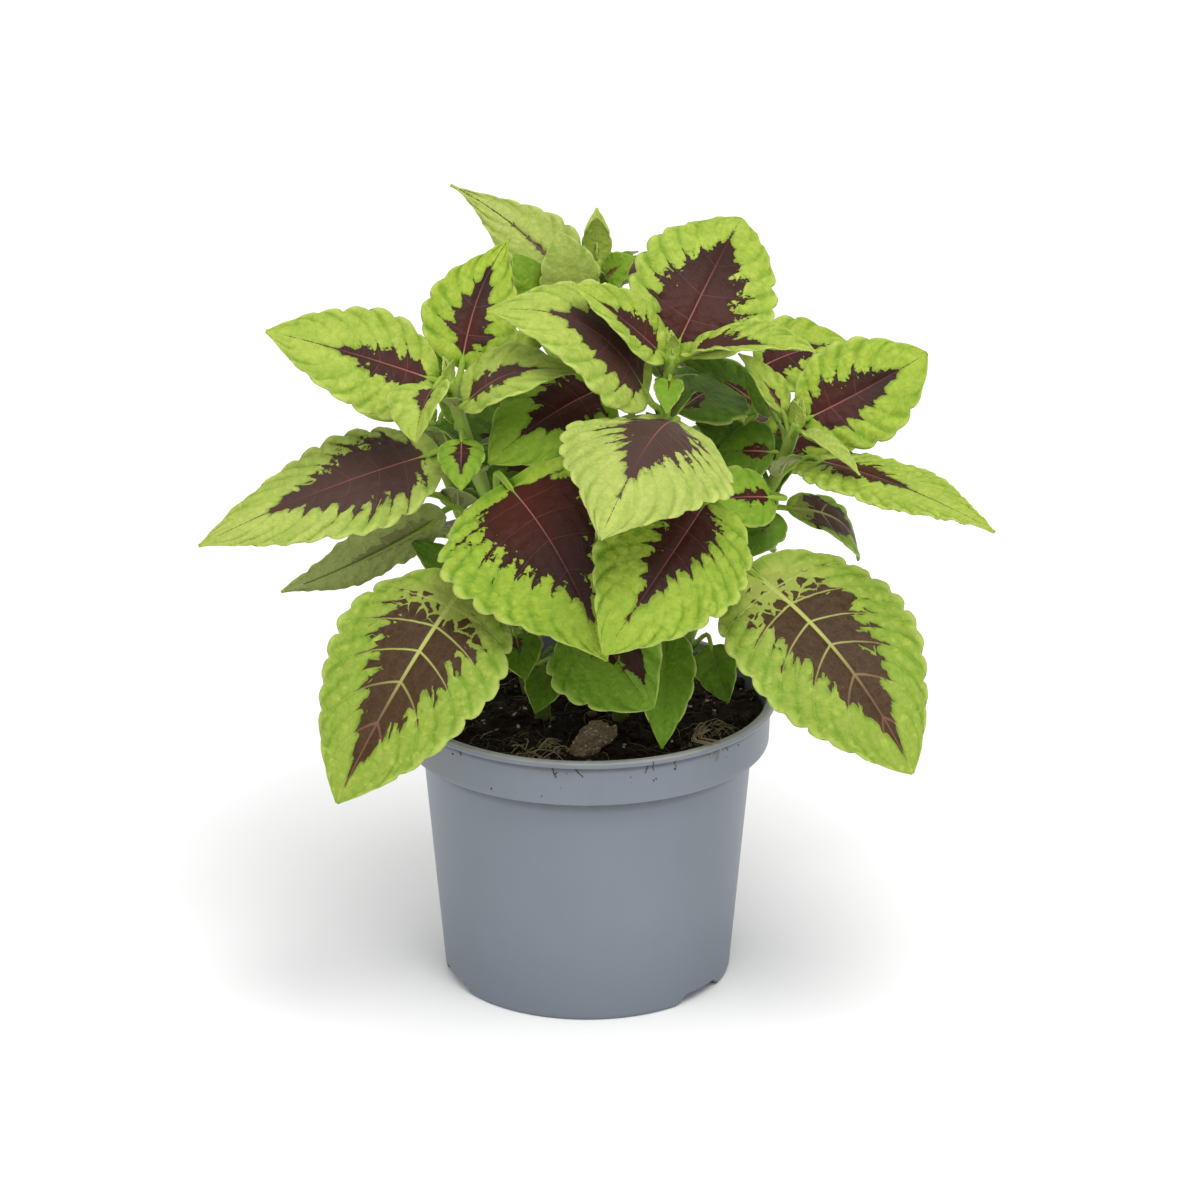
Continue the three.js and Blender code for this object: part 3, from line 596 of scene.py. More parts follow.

# A leaf is the solid's row (the stalk's height on the stem, base, tip, the way its face looks, width, arch,
# fold in degrees, sweep, how far its tip is drawn out), then the look: the maroon middle's (half width, end)
# with its start and its shift to one side where they aren't 0, how far the midrib's dark line runs, and the
# leaf's (age, paleness, painted shade), the last painting leaves deep in the plant darker.
LEAVES = {
    "stem_centre": {
        "centre_up": ([205, [28, -13, 213], [48, 25, 242], [0, -0.9, 0.42], 47, 0.12, 8, 0, 0.9],
            (0.72, 0.84), 0.95, (0, 0.25, 0)),
        "centre_left": ([206, [22, -23, 213], [-4, -32, 237], [0.4, -0.5, 0.8], 25, 0.03, 22, 0, 1.05],
            (0.5, 0.8, 0.03), 0.9, (0, 0.35, 0)),
        "centre_right": ([206, [32, -23, 212], [69, -42, 219], [-0.1, -0.1, 1], 27, 0.06, 26, 0, 1.05],
            (0.62, 0.66), 0.9, (0, 0.4, 0)),
        "centre_down": ([201, [25, -30, 206], [24, -47, 201], [0, -0.7, 0.7], 10, 0.05, 20, 0, 1.05],
            (0, 1), 0.4, (0, 0, 0.6)),
        "centre_top": ([188, [17, -27, 203], [-30, -33, 229], [0.3, -0.5, 0.8], 44, 0.16, 8, -0.08, 1.1],
            (0.6, 0.76), 0.9, (0, 0.6, 0)),
        "centre_inner": ([168, [3, -11, 197], [-30, -31, 180], [-0.1, -0.7, 0.6], 38, 0.10, 8, 0, 0.95],
            (0.62, 0.75), 0.9, (0, 0, 0.4)),
        "centre_back": ([180, [29, -2, 188], [47, 25, 185], [0.1, -0.4, 0.85], 33, 0.12, 8, 0, 1],
            (0.3, 0.4), 0.5, (0.2, 0, 0.95)),
        "front_droop": ([182, [26, -38, 196], [4, -100, 180], [0.1, -0.5, 0.86], 56, 0.15, -12, 0, 1],
            (0.52, 0.8), 0.95, (0, 1, 0)),
        "front_right": ([158, [36, -47, 173], [5, -92, 141], [0.2, -0.8, 0.55], 50, 0.08, 8, 0, 0.95],
            (0.41, 0.84), 0.9, (0, 0.1, 0.1)),
        "bottom_centre": ([128, [2, -30, 133], [20, -62, 112], [-0.6, -0.6, 0.5], 46, 0.12, 14, 0, 0.85],
            (0.6, 0.97, 0, 0.3), 0.9, (0, 0, 0.65)),
        "bottom_tip": ([122, [24, -32, 124], [23, -50, 94], [0.1, -0.9, 0.3], 21, 0.06, 24, 0, 1.05],
            (0, 1), 0, (0, 0, 0.72)),
    },
    "stem_left": {
        "left_up": ([198, [-38, -14, 208], [-24, 15, 238], [0, -0.9, 0.4], 32, 0.08, 12, 0.05, 1.4],
            (0.42, 0.88, 0.03), 0.97, (0, 0, 0)),
        "left_out": ([200, [-48, -24, 205], [-96.5, -32, 222.5], [-0.1, -0.7, 0.7], 36, 0.01, 6, -0.01, 1],
            (0.38, 0.66), 0.92, (0, 0.35, 0)),
        "left_in": ([195, [-36, -31, 200], [-3, -31, 209], [-0.3, -0.4, 0.9], 28, 0.18, 16, 0, 1.05],
            (0.38, 0.82), 0.92, (0, 0.65, 0)),
        "left_front": ([200, [-46, -41, 207], [-51, -54, 194], [-0.6, -0.7, 0.4], 26, 0.10, 30, 0, 1.05],
            (0.3, 0.6), 0.75, (0, 0.5, 0)),
        "left_small": ([180, [-38, -34, 188], [-38, -45, 176], [0, -0.9, 0.4], 15, 0.08, 10, 0, 1.05],
            (0.4, 0.75, 0.05), 0.7, (0, 0, 0.45)),
        "left_mid": ([172, [-49, -26, 181], [-118.5, -38, 156], [-0.1, -0.55, 0.85], 40, 0.05, 2, 0.01, 1.1],
            (0.72, 0.76), 0.92, (0, 0.8, 0)),
        "front_left": ([160, [-23, -40, 175], [6, -82, 135], [-0.1, -0.8, 0.6], 68, 0.10, 6, 0.04, 1.15],
            (0.65, 0.88, 0, 0.05), 0.9, (0, 0.05, 0.12)),
        "left_under": ([146, [-48, -5, 153], [-95, -21, 135], [-0.2, 0.72, 0.64], 35, -0.03, 10, 0, 1.05],
            (0.4, 0.7), 0.9, (0.3, 0.2, 0)),
        "low_left": ([130, [-38, -46, 145], [-75, -86, 91], [-0.3, -0.8, 0.5], 57, 0.08, 8, 0.01, 0.9],
            (0.58, 0.97), 0.97, (1, 0.1, 0)),
        "bottom_left": ([112, [-22, -22, 120], [-19, -38, 112], [0, -0.9, 0.4], 16, 0.08, 12, 0, 1.05],
            (0.3, 0.5), 0.5, (0.1, 0, 0.8)),
        "bottom_left_low": ([104, [-12, -24, 110], [-16, -38, 101], [0, -0.9, 0.4], 14, 0.06, 14, 0, 1.05],
            (0, 1), 0, (0.1, 0, 0.9)),
    },
    "stem_right": {
        "right_up": ([177, [69, -4, 186], [106, 12, 202], [0.1, -0.85, 0.5], 36, 0.05, 10, -0.02, 0.85],
            (0.52, 0.85), 0.95, (0, 0.1, 0)),
        "right_small": ([179, [67, -14, 184], [83, -36, 178], [0.3, -0.4, 0.9], 9, 0.05, 30, 0, 1.05],
            (0, 1), 0, (0, 0.8, 0)),
        "right_in": ([179, [60, -2, 188], [47, 5, 204], [0.7, -0.5, 0.5], 15, 0.05, 24, 0, 1.05],
            (0.3, 0.5), 0.6, (0, 0.3, 0)),
        "right_fill": ([166, [57, -2, 174], [40, 5, 171], [-0.2, -0.7, 0.7], 22, 0.08, 10, 0, 1.05],
            (0.3, 0.6), 0.7, (0.1, 0, 0.85)),
        "right_far": ([166, [72, -10, 174], [121.5, -67, 171], [0.1, -0.2, 1], 34, 0.03, 6, 0, 1.15],
            (0.42, 0.6), 0.93, (0, 0.3, 0)),
        "right_inner": ([158, [56, -22, 166], [30, -34, 168], [0, -0.7, 0.7], 22, 0.06, 10, 0, 1.05],
            (0.34, 0.55), 0.8, (0, 0, 0.45)),
        "right_inner_low": ([150, [57, -14, 158], [50, -24, 147], [0, -0.9, 0.4], 15, 0.06, 10, 0, 1.05],
            (0.2, 0.5), 0.5, (0.1, 0, 0.8)),
        "right_behind": ([146, [64, 5, 153], [86, 16, 132], [0.6, -0.2, 0.6], 20, 0.21, 8, 0, 0.7],
            (0.86, 0.95), 0.9, (0.7, 0, 0.2)),
        "low_right": ([124, [52, -41, 147], [98, -82, 99], [0.3, -0.8, 0.5], 58, 0.08, 8, 0.03, 0.85],
            (0.56, 0.98), 0.97, (1, 0.1, 0)),
        "bottom_right": ([104, [39, -12, 112], [44, -22, 98], [-0.2, -0.9, 0.4], 16, 0.05, 24, 0, 1.05],
            (0, 1), 0, (0.1, 0, 0.9)),
    },
    "stem_back": {
        "back_top_left": ([207, [-5, 37, 217], [-43, 44, 247.5], [-0.2, -0.6, 0.75], 27, 0.02, 4, -0.05, 1.6],
            (0.1, 0.6, 0.05), 0.95, (0, 1, 0)),
        "back_small": ([215, [6, 37, 219], [15, 32, 227], [0.1, -0.7, 0.7], 13, 0.08, 10, 0, 1.05],
            (0.2, 0.6), 0.6, (0.1, 0, 0.5)),
        "back_front": ([196, [1, 27, 206], [-9, -4, 202], [0, -0.3, 0.9], 33, 0.14, 8, 0, 1],
            (0.55, 0.7), 0.8, (0, 0, 0.5)),
        "back_inner": ([146, [-10, 17, 161], [-46, 15, 178], [-0.1, -0.6, 0.75], 40, 0.08, 8, 0, 0.85],
            (0.6, 0.75), 0.8, (0.1, 0, 1)),
        "back_left": ([196, [-8, 45, 210], [-30, 57, 220], [0, -0.8, 0.6], 27, 0.08, 10, 0, 1.05],
            (0.35, 0.7), 0.8, (0.1, 0, 0.5)),
        "back_rear": ([208, [11, 52, 214], [26, 94, 206], [0, 0.5, 0.9], 38, 0.12, 10, 0, 0.95],
            (0.6, 0.78), 0.9, (0, 0.2, 0)),
        "back_mid_left": ([170, [-5, 54, 176], [-23, 100, 158], [-0.1, 0.6, 0.8], 44, 0.12, 8, 0, 0.95],
            (0.68, 0.8), 0.9, (0.1, 0.1, 0)),
        "back_mid_right": ([150, [14, 46, 160], [40, 90, 142], [0.1, 0.6, 0.8], 42, 0.12, 8, 0, 0.95],
            (0.66, 0.82), 0.9, (0.2, 0.1, 0)),
        "back_low": ([124, [-2, 44, 137], [-10, 92, 104], [0, 0.7, 0.7], 48, 0.10, 8, 0, 0.9],
            (0.74, 0.9), 0.95, (0.9, 0, 0)),
    },
    "stem_back_left": {
        "rear_left_up": ([158, [-59, 41, 173], [-70, 56, 198], [-0.1, -0.7, 0.7], 28, 0.08, 10, 0, 1.05],
            (0.45, 0.7), 0.9, (0, 0.2, 0)),
        "rear_left_in": ([160, [-44, 48, 173], [-18, 52, 186], [-0.2, 0.3, 0.9], 33, 0.08, 10, 0, 1.05],
            (0.5, 0.7), 0.9, (0, 0.2, 0)),
        "rear_left_back": ([152, [-54, 58, 157], [-78, 90, 143], [-0.4, 0.5, 0.8], 38, 0.10, 8, 0, 0.95],
            (0.66, 0.8), 0.9, (0, 0.15, 0)),
        "rear_left_out": ([140, [-55, 32, 149], [-97, 42, 136], [-0.3, 0, 0.95], 38, 0.08, 8, 0, 0.95],
            (0.66, 0.8), 0.9, (0.3, 0.1, 0)),
        "rear_left_low": ([118, [-46, 46, 130], [-64, 86, 110], [-0.3, 0.6, 0.7], 42, 0.1, 8, 0, 0.95],
            (0.7, 0.88), 0.95, (0.8, 0, 0)),
    },
    "stem_back_right": {
        "rear_right_up": ([162, [56, 46, 187], [85, 57, 191], [0.1, -0.6, 0.8], 30, 0.12, 8, 0, 1],
            (0.5, 0.7), 0.9, (0, 0.15, 0)),
        "rear_right_in": ([162, [42, 52, 180], [15, 50, 187], [0.2, 0.1, 0.9], 34, 0.08, 10, 0, 0.95],
            (0.5, 0.7), 0.9, (0, 0.15, 0)),
        "rear_right_back": ([154, [56, 60, 162], [86, 90, 150], [0.4, 0.5, 0.8], 40, 0.10, 8, 0, 0.95],
            (0.66, 0.8), 0.9, (0, 0.15, 0)),
        "rear_right_out": ([150, [58, 37, 160], [98, 52, 172], [0.3, -0.3, 0.95], 32, 0.08, 8, 0, 0.95],
            (0.6, 0.78), 0.9, (0.1, 0.1, 0)),
        "rear_right_low": ([116, [40, 54, 124], [50, 90, 108], [0.3, 0.6, 0.7], 38, 0.10, 8, 0, 0.95],
            (0.7, 0.88), 0.95, (0.8, 0, 0)),
    },
}

# Small leaves that the solids don't have, given in the same way: (base, tip, face, width), maroon, look.
SMALL_LEAVES = {
    "stem_left": ((([-38, -2, 131], [-55, -3, 145], [0, -0.8, 0.5], 12), (0.3, 0.5), (0.2, 0, 0.8)),
                  (([-41, 3, 183], [-47, 1, 206], [0.2, -0.9, 0.2], 8), (0.2, 0.5), (0.1, 0, 0.6)),
                  (([-29, 16, 199], [-10, 18, 208], [0, -0.9, 0.4], 10), (0, 1), (0, 0.3, 0))),
    "stem_right": ((([51, 16, 168], [34, 10, 180], [0, -0.8, 0.6], 14), (0.2, 0.5), (0.1, 0, 1)),
                   (([58, 14, 182], [49, 12, 196], [0.2, -0.9, 0.3], 9), (0.2, 0.5), (0.1, 0, 0.8))),
    "stem_back": ((([-4, 31, 214], [-9, 30, 236], [0.1, -0.9, 0.2], 20), (0, 1), (0.3, 1, 0)),
                  (([-14, 31, 214], [-23, 30, 229], [0.2, -0.9, 0.2], 13), (0, 1), (0.2, 0, 0.5))),
    "stem_back_right": [(([54, 38, 177], [29, 26, 197], [-0.2, -0.8, 0.5], 16), (0.3, 0.6), (0.1, 0, 1))],
}


class Blade:
    """A leaf's middle surface, as the solid has it, with crenate edges and the quilting of its veins.
    s is the share of the blade's length from its base, v the share of its half width, below 0 on one side."""

    def __init__(self, row, tone):
        _, base, tip, face, self.width, self.arch, fold, self.sweep, self.drawn = row
        self.base = np.asarray(base, float)
        self.along = np.asarray(tip, float) - self.base
        self.length = np.linalg.norm(self.along)
        self.along /= self.length
        self.up = np.asarray(face, float)
        self.up = unit(self.up - self.along * self.up.dot(self.along))
        self.side = np.cross(self.up, self.along)
        self.rise, self.spread = math.sin(math.radians(fold)), math.cos(math.radians(fold))
        self.teeth = int(np.clip(round(self.length / TEETH_PITCH), *TEETH_RANGE))
        age, pale, _ = tone
        self.scallop = 0.11 - 0.03 * age
        self.pillowed = float(np.clip((self.length - 42) / 14, 0, 0.9)) * (1 - 0.7 * pale)
        self.relief = min(self.length / 55, 1.1) * (1 - 0.3 * age)

    def profile(self, s):
        """The blade's width at a place along it, as a share of its greatest width."""
        widest = 0.5 / (0.5 + self.drawn)
        return (np.clip(s, 0, 1) ** 0.5 * np.clip(1 - s, 0, 1) ** self.drawn
                / (widest ** 0.5 * (1 - widest) ** self.drawn))

    def middle(self, s):
        s = np.asarray(s, float)[..., None]
        bow = self.length * 4 * s * (1 - s)
        return self.base + self.along * self.length * s + (self.up * self.arch + self.side * self.sweep) * bow

    def half(self, s):
        return np.maximum(0.5 * self.width * self.profile(s), 0.3)

    def normal(self, s):
        return unit_rows(self.up - self.along * 4 * self.arch * (1 - 2 * s)[..., None])

    def phase(self, s, v):
        """Counts the notches between teeth. The lines of whole numbers, which the side veins follow, leave
        the midrib aslant, bend forward and end in the notches."""
        a = np.abs(v)
        ahead = (0.62 - 0.42 * a - 0.2 * a ** 2) * (1 - np.exp(-s / 0.5)) * (1 - 0.55 * s ** 2)
        return self.teeth * (s + ahead)

    def edge(self, s, v):
        """How far the outline reaches at a place along the blade, 1 at a crest and less at a notch."""
        t = (s * self.teeth) % 1
        bent = np.where(t < CREST, 0.5 * t / CREST, 0.5 + 0.5 * (t - CREST) / (1 - CREST))
        uneven = 1 + 0.3 * np.sin(2.4 * s * self.teeth + 2 * np.sign(v))
        depth = self.scallop * uneven * smooth(0.0, 0.08, s) * (1 - 0.6 * smooth(0.85, 1, s))
        scallop = 1 - depth * (1 - np.sin(math.pi * bent) ** 0.55)
        return 1 - (1 - scallop) * np.abs(v) ** 5

    def quilting(self, s, reach, phase):
        """The height of the quilting: ridges between the side veins, with domes over the cells of the finer
        veins. Long blades have rounder pillows and less of the ridges."""
        a = np.abs(reach)
        aside = reach * self.half(s)
        ridges = cell_domes(1.3 * phase + 9, aside / 5.6 + 40, self.length)
        pillows = cell_domes(s * self.length / 4.8 + 9, aside / 4.4 + 40, self.length)
        domes = ridges + (pillows - ridges) * self.pillowed
        between = np.abs(np.sin(math.pi * phase)) ** 0.7
        flat_tip = 1 - 0.7 * smooth(0.8, 1.0, s)
        puffed = smooth(0.02, 0.25, a) * (0.35 + 0.65 * smooth(0.25, 0.8, a)) * flat_tip
        lobes = between * (0.35 + 0.65 * smooth(0.35, 0.9, a)) * (1 - 0.45 * self.pillowed)
        self.hollow = puffed * (1 - np.clip(0.4 + domes, 0, 1) * np.clip(0.15 + between, 0, 1))
        return self.relief * puffed * (1.8 * lobes + (0.9 + 0.5 * self.pillowed) * domes - 1.5)

    def surface(self, s, v):
        reach = v * self.edge(s, v)
        half = self.half(s)
        a = np.abs(reach)
        wave = 0.05 * np.sin(11 * s + 2 * reach)
        quilt = self.quilting(s, reach, self.phase(s, v))
        groove = -0.3 * self.relief * np.exp(-(reach * half / 0.9) ** 2)
        roll = -0.9 * self.relief * smooth(0.86, 1.05, a) ** 2
        lift = half * (self.rise * a + (wave - 0.16) * a ** 2) + quilt + groove + roll
        back = 0.07 * self.length * reach ** 2 * (1 - s) ** 4
        return (self.middle(s) - self.along * back[..., None]
                + self.side * (half * reach * self.spread)[..., None] + self.normal(s) * lift[..., None])


def maroon(s, v, look, age):
    """How far a point lies inside the maroon middle, as a share of the blade's half width, and how much
    of the ragged edge there is room for where the middle is narrow."""
    extent, end, start, shift = (*look, 0, 0)[:4]
    if extent == 0:
        return np.full(np.shape(s), -1.0), np.ones(np.shape(s))
    t = (s - start) / (end - start)
    inside = np.clip(t, 0, 1)
    taper = (1 - inside ** 2.2) ** (1.5 - 0.3 * age)
    width = extent * np.sqrt(smooth(-0.02, 0.14, t)) * taper
    room = np.clip(width / 0.45, 0.22, 1)
    return np.where(t > 1, -(t - 1) * 3 - 0.1, width - 0.02) - np.abs(v - shift), room


def add_leaf(shell, row, look, line, tone, root=None, seed=0, rows_a_tooth=8):
    """A blade as a thin slab, and its stalk if it has a root on a stem."""
    blade = Blade(row, tone)
    u = np.linspace(0, 1, blade.teeth * rows_a_tooth + 5)
    half_columns = int(np.clip(round(blade.width / 1.6), 6, 42))
    v_line = np.linspace(-1, 1, 2 * half_columns + 1)
    s, v = mesh_grid(0.55 * u + 0.45 * u ** 1.7, v_line)
    points = blade.surface(s, v)
    grid = points.reshape(len(u), len(v_line), 3)
    normal = unit_rows(np.cross(np.gradient(grid, axis=0), np.gradient(grid, axis=1)).reshape(-1, 3))
    a = np.abs(v)
    x = v * blade.half(s)
    half_thick = (0.17 + 0.1 * a * (1 - a) + 0.06 * (1 - a))[:, None]
    field, room = maroon(s, v, look, tone[0])
    dark = np.where(s < line, 0.55 * (1 - s / max(line, 0.01)) + 0.12, -1.0) - np.abs(x) * 1.2
    plane = rows_of(x, s * blade.length, 17.3 * seed)
    vein = rows_of(blade.phase(s, v), blade.hollow, s)
    # the slab's faces are given with its upper grid, and the lower grid's vertices follow
    for side, under, faces in ((1, 0, slab_faces(*grid.shape[:2])), (-1, 1, ())):
        shell.add(points + normal * half_thick * side, faces,
                  plane, vein, rows_of(field, dark, under), tone, rows_of(a, 0, room))
    if root is not None:
        add_stalk(shell, blade, root, tone, seed)


def add_stalk(shell, blade, root, tone, seed):
    """The stalk, from inside the stem to the blade, and on under it as the raised midrib."""
    base, under = blade.middle(0), blade.middle(0.04)
    heading = unit(under - base)
    reach = np.linalg.norm(base - root)
    leave = unit(unit(base - root) + np.array([0, 0, 0.35]))
    curve = Curve([root, root + leave * 0.35 * reach, base - heading * 0.3 * reach, base, under])
    steps = max(10, int(reach / 1.2))
    scale = min(1.0, 0.45 + blade.length / 75)
    rib = np.linspace(0.0, 0.86, 26)
    depth = np.interp(rib, [0, 0.05, 0.86], [0.25, 0.75, 0.42])
    midrib = blade.surface(rib, np.zeros(len(rib))) - blade.normal(rib) * (depth * scale)[:, None]
    path = np.concatenate([curve.path(steps, 0.75)[:-1], midrib])
    stalk_radii = np.interp(np.linspace(0, 1, steps - 1), [0, 0.12, 0.3, 1], [1.75, 1.4, 1.15, 1.0])
    rib_radii = np.interp(rib, [0, 0.1, 0.86], [0.95, 0.72, 0.18])
    sides = 10
    points, faces, marks = tube(path, np.concatenate([stalk_radii, rib_radii]) * scale, sides)
    along = np.repeat(np.concatenate([np.zeros(steps - 1), rib]), sides)
    plane = rows_of(marks[:, 0] * 3, marks[:, 1], 5.0 + seed)
    stalk_share = 1 - 0.85 * smooth(0.0, 0.25, along)
    shell.add(points, faces, plane, rows_of(0.5, 3.0, along), (-1, -1, 1), tone, rows_of(0, stalk_share, 0))


def squared(angle):
    """A stem's section: a square with blunt corners and shallow grooves down its faces."""
    flat = 1 / np.maximum(np.abs(np.cos(angle)), np.abs(np.sin(angle)))
    return 1 + 0.42 * (np.minimum(flat, 1.28) - 1.14) - 0.05 * np.cos(4 * angle) ** 2


def add_hairs(shell, path, radii, random):
    """Short hairs on a stem, each a thin spike of three sides."""
    for _ in range(HAIRS_A_STEM):
        k = random.integers(18, STEM_STEPS - 1)
        a = random.uniform(0, 2 * math.pi)
        tangent = unit(path[k] - path[k - 1])
        out = unit(np.cross(tangent, [*spot(1, a), 0.2]))
        foot = path[k] + out * radii[k] * 0.92
        tip = foot + (out + tangent * random.uniform(-0.3, 0.3)) * random.uniform(0.5, 0.9)
        across = unit(np.cross(out, tangent)) * 0.035
        behind = foot - across * 0.5
        shell.add([foot + across, behind + tangent * 0.03, behind - tangent * 0.03, tip],
                  [(0, 1, 2), (0, 3, 1), (1, 3, 2), (2, 3, 0)], (a, k, 0), (0, 1, 0))


def make_shoot(name, number, curve, joints, random):
    """The stem itself, swollen and ringed at its joints, and woody near the soil."""
    path = np.array(curve.path(STEM_STEPS))
    swell = sum(np.exp(-((path[:, 2] - h) / 2.2) ** 2) for h in joints)
    radii = np.interp(np.linspace(0, 1, STEM_STEPS), [0, 1], STEM_RADII) * (1 + 0.16 * np.minimum(swell, 1.2))
    shell = Shell("stem_mark", "stem_look")
    sides = 20
    points, faces, marks = tube(path, radii, sides, squared)
    marks[:, 2] = 7.1 * number
    wood = 1 - smooth(92, 125, np.repeat(path[:, 2], sides))
    shell.add(points, faces, marks, rows_of(np.repeat(np.minimum(swell, 1), sides), 0, wood))
    add_hairs(shell, path, radii, random)
    shell.piece(name.replace("stem_", "shoot_"), STEM, "stem", name)


def make_bud(name, number, tip):
    """The pair of young leaves that closes a stem, with a smaller pair across it."""
    _, turn, length, width = STEMS[name]
    shell = Shell(*LEAF_MARKS)
    pairs = [(turn, length, width, 0.35, 1.5), (turn + 90, length * 0.5, width * 0.5, 0.15, 0.6)]
    for k, (angle, long, wide, lean, sink) in enumerate(pairs):
        for half_turn in (0, 180):
            out = np.array([*spot(1, math.radians(angle + half_turn)), 0])
            start = tip + out * 0.7 - [0, 0, sink]
            end = tip + out * lean * long + [0, 0, long]
            row = [0, start, end, [-out[0], -out[1], 0.3], wide, 0.1, 15, 0, 1]
            add_leaf(shell, row, (0.16, 0.7), 0.9, (0, 1, 0), seed=60 + 4 * number + k)
    shell.piece(name.replace("stem_", "bud_"), LEAF, "leaf", name)


def make_axils(name, number, curve, joints, random):
    """Pairs of small leaves at the joints that stand well apart, larger at the right and behind, and the
    stem's SMALL_LEAVES."""
    turn, tip = STEMS[name][1], curve.at(1)
    shell = Shell(*LEAF_MARKS)
    grown = 1.0 if name in ("stem_centre", "stem_left") else 1.5
    heights = [h for h, below in zip(joints, [0] + joints) if h - below > 5 and 103 < h < tip[2] - 8]
    for k, height in enumerate(heights):
        for half_turn in (0, 180):
            a = math.radians(turn + 45 + 90 * k + half_turn + random.uniform(-20, 20))
            out = np.array([*spot(1, a), 0])
            start = curve.at_height(height + 1.5) + out * 1.8
            end = start + grown * (out * random.uniform(7, 11) + [0, 0, random.uniform(3, 8)])
            face = [-0.6 * out[0], -0.6 * out[1], 0.8]
            row = [0, start, end, face, grown * random.uniform(6, 9), 0.12, 14, 0, 1.05]
            add_leaf(shell, row, (0.3, 0.7), 0.6, (0.1, 0, 0.8),
                     seed=90 + 20 * number + k, rows_a_tooth=5)
    for k, ((start, end, face, wide), look, tone) in enumerate(SMALL_LEAVES.get(name, ())):
        row = [0, start, end, face, wide, 0.1, 10, 0, 0.9]
        add_leaf(shell, row, look, 0.3, tone, curve.at_height(start[2] - 6), seed=300 + 10 * number + k)
    if shell.count:
        shell.piece(name.replace("stem_", "axil_"), LEAF, "leaf", name)


def make_plant():
    leaf_number = 0
    for number, (name, leaves) in enumerate(LEAVES.items()):
        curve = Curve(STEMS[name][0])
        joints = sorted(row[0] for row, *_ in leaves.values())
        random = np.random.default_rng(40 + number)
        make_shoot(name, number, curve, joints, random)
        make_bud(name, number, curve.at(1))
        make_axils(name, number, curve, joints, random)
        for leaf, (row, look, line, tone) in leaves.items():
            leaf_number += 1
            shell = Shell(*LEAF_MARKS)
            add_leaf(shell, row, look, line, tone, curve.at_height(row[0]), leaf_number)
            shell.piece("blade_" + leaf, LEAF, "leaf", "leaf_" + leaf)


# ---- pot
POT_SIDES = 180
ARCHES = (-38, -158, 82)            # where the foot ring's arches are, in degrees round
FOOT_RADIUS, SHOULDER_RADIUS, SHOULDER_HEIGHT = 45.8, 52.6, 78
WALL = 1.3
FLOOR_TOP, FLOOR_UNDER = 5.3, 4
DRAINS, DRAIN_RADIUS, DRAIN_PLACE = 5, 4, 30
FOOT_RINGS = 9                      # rings of the section's beginning that the arches lift


def outside(z):
    return FOOT_RADIUS + (SHOULDER_RADIUS - FOOT_RADIUS) * z / SHOULDER_HEIGHT


def pot_section():
    """(radius, height) from the foot up the outside, over the lip, down the inside and under the floor."""
    foot = [(42.4, 0.25), (42.6, 0), (44.7, 0), (45.2, 0.1), (45.7, 0.6), (outside(1.4), 1.4)]
    body = [(outside(z), z) for z in (2.4, 3.4, 4.6, 6, 8, 12, 18, 26, 34, 42, 50, 58, 66, 72, 76, 77.4)]
    shoulder = [(52.7, 77.9), (53, 78.05), (54.5, 78.05), (56.9, 78.05), (57.5, 78.25), (57.75, 78.8),
                (57.8, 79.6)]
    collar = [(57.8 + 0.4 * (z - 79.6) / 10, z) for z in (81, 83, 85, 87, 88.6, 89.4)]
    lip = [(58.3, 90.6), (58.6, 90.9), (59.2, 91), (59.7, 91.2), (59.95, 91.6), (60, 92.1), (59.85, 92.6),
           (59.5, 93), (58.9, 93.2), (58.1, 93.2), (57.4, 93), (56.9, 92.6), (56.5, 91.9), (56.3, 90.8)]
    back = [(56.3, z) for z in (88, 85, 82, 80.4)] + [(55.9, 79.4), (54.4, 78.4), (51.4, 77)]
    inside = [(outside(z) - WALL, z) for z in (70, 55, 40, 25, 12, 8.5)] + [(44.6, 6.6), (43.8, 5.7)]
    floor = [(r, FLOOR_TOP) for r in (42.5, 30, 15, 0.5)] + [(r, FLOOR_UNDER) for r in (0.5, 15, 30, 40)]
    recess = [(42, 3.9), (42.4, 3.5), (42.4, 1.5)]
    return foot + body + shoulder + collar + lip + back + inside + floor + recess


def arch_lift(angle):
    """How high the foot ring's lower edge stands at each angle round."""
    lift = np.zeros(len(angle))
    for middle in ARCHES:
        off = np.abs((np.degrees(angle) - middle + 180) % 360 - 180) * math.pi / 180 * FOOT_RADIUS
        lift = np.maximum(lift, 3.4 * (1 - np.clip((off - 6) / 5, 0, 1) ** 2) * (off < 11))
    return lift


def cut_drains(pot):
    for i in range(DRAINS):
        x, y = spot(DRAIN_PLACE * MM, 2 * math.pi * i / DRAINS)
        bpy.ops.mesh.primitive_cylinder_add(
            vertices=32, radius=DRAIN_RADIUS * MM, depth=5 * MM, location=(x, y, 4.65 * MM))
        cutter = bpy.context.object
        cut = pot.modifiers.new("drain", "BOOLEAN")
        cut.operation, cut.object, cut.solver = "DIFFERENCE", cutter, "EXACT"
        with bpy.context.temp_override(object=pot, active_object=pot):
            bpy.ops.object.modifier_apply(modifier=cut.name)
        bpy.data.objects.remove(cutter)


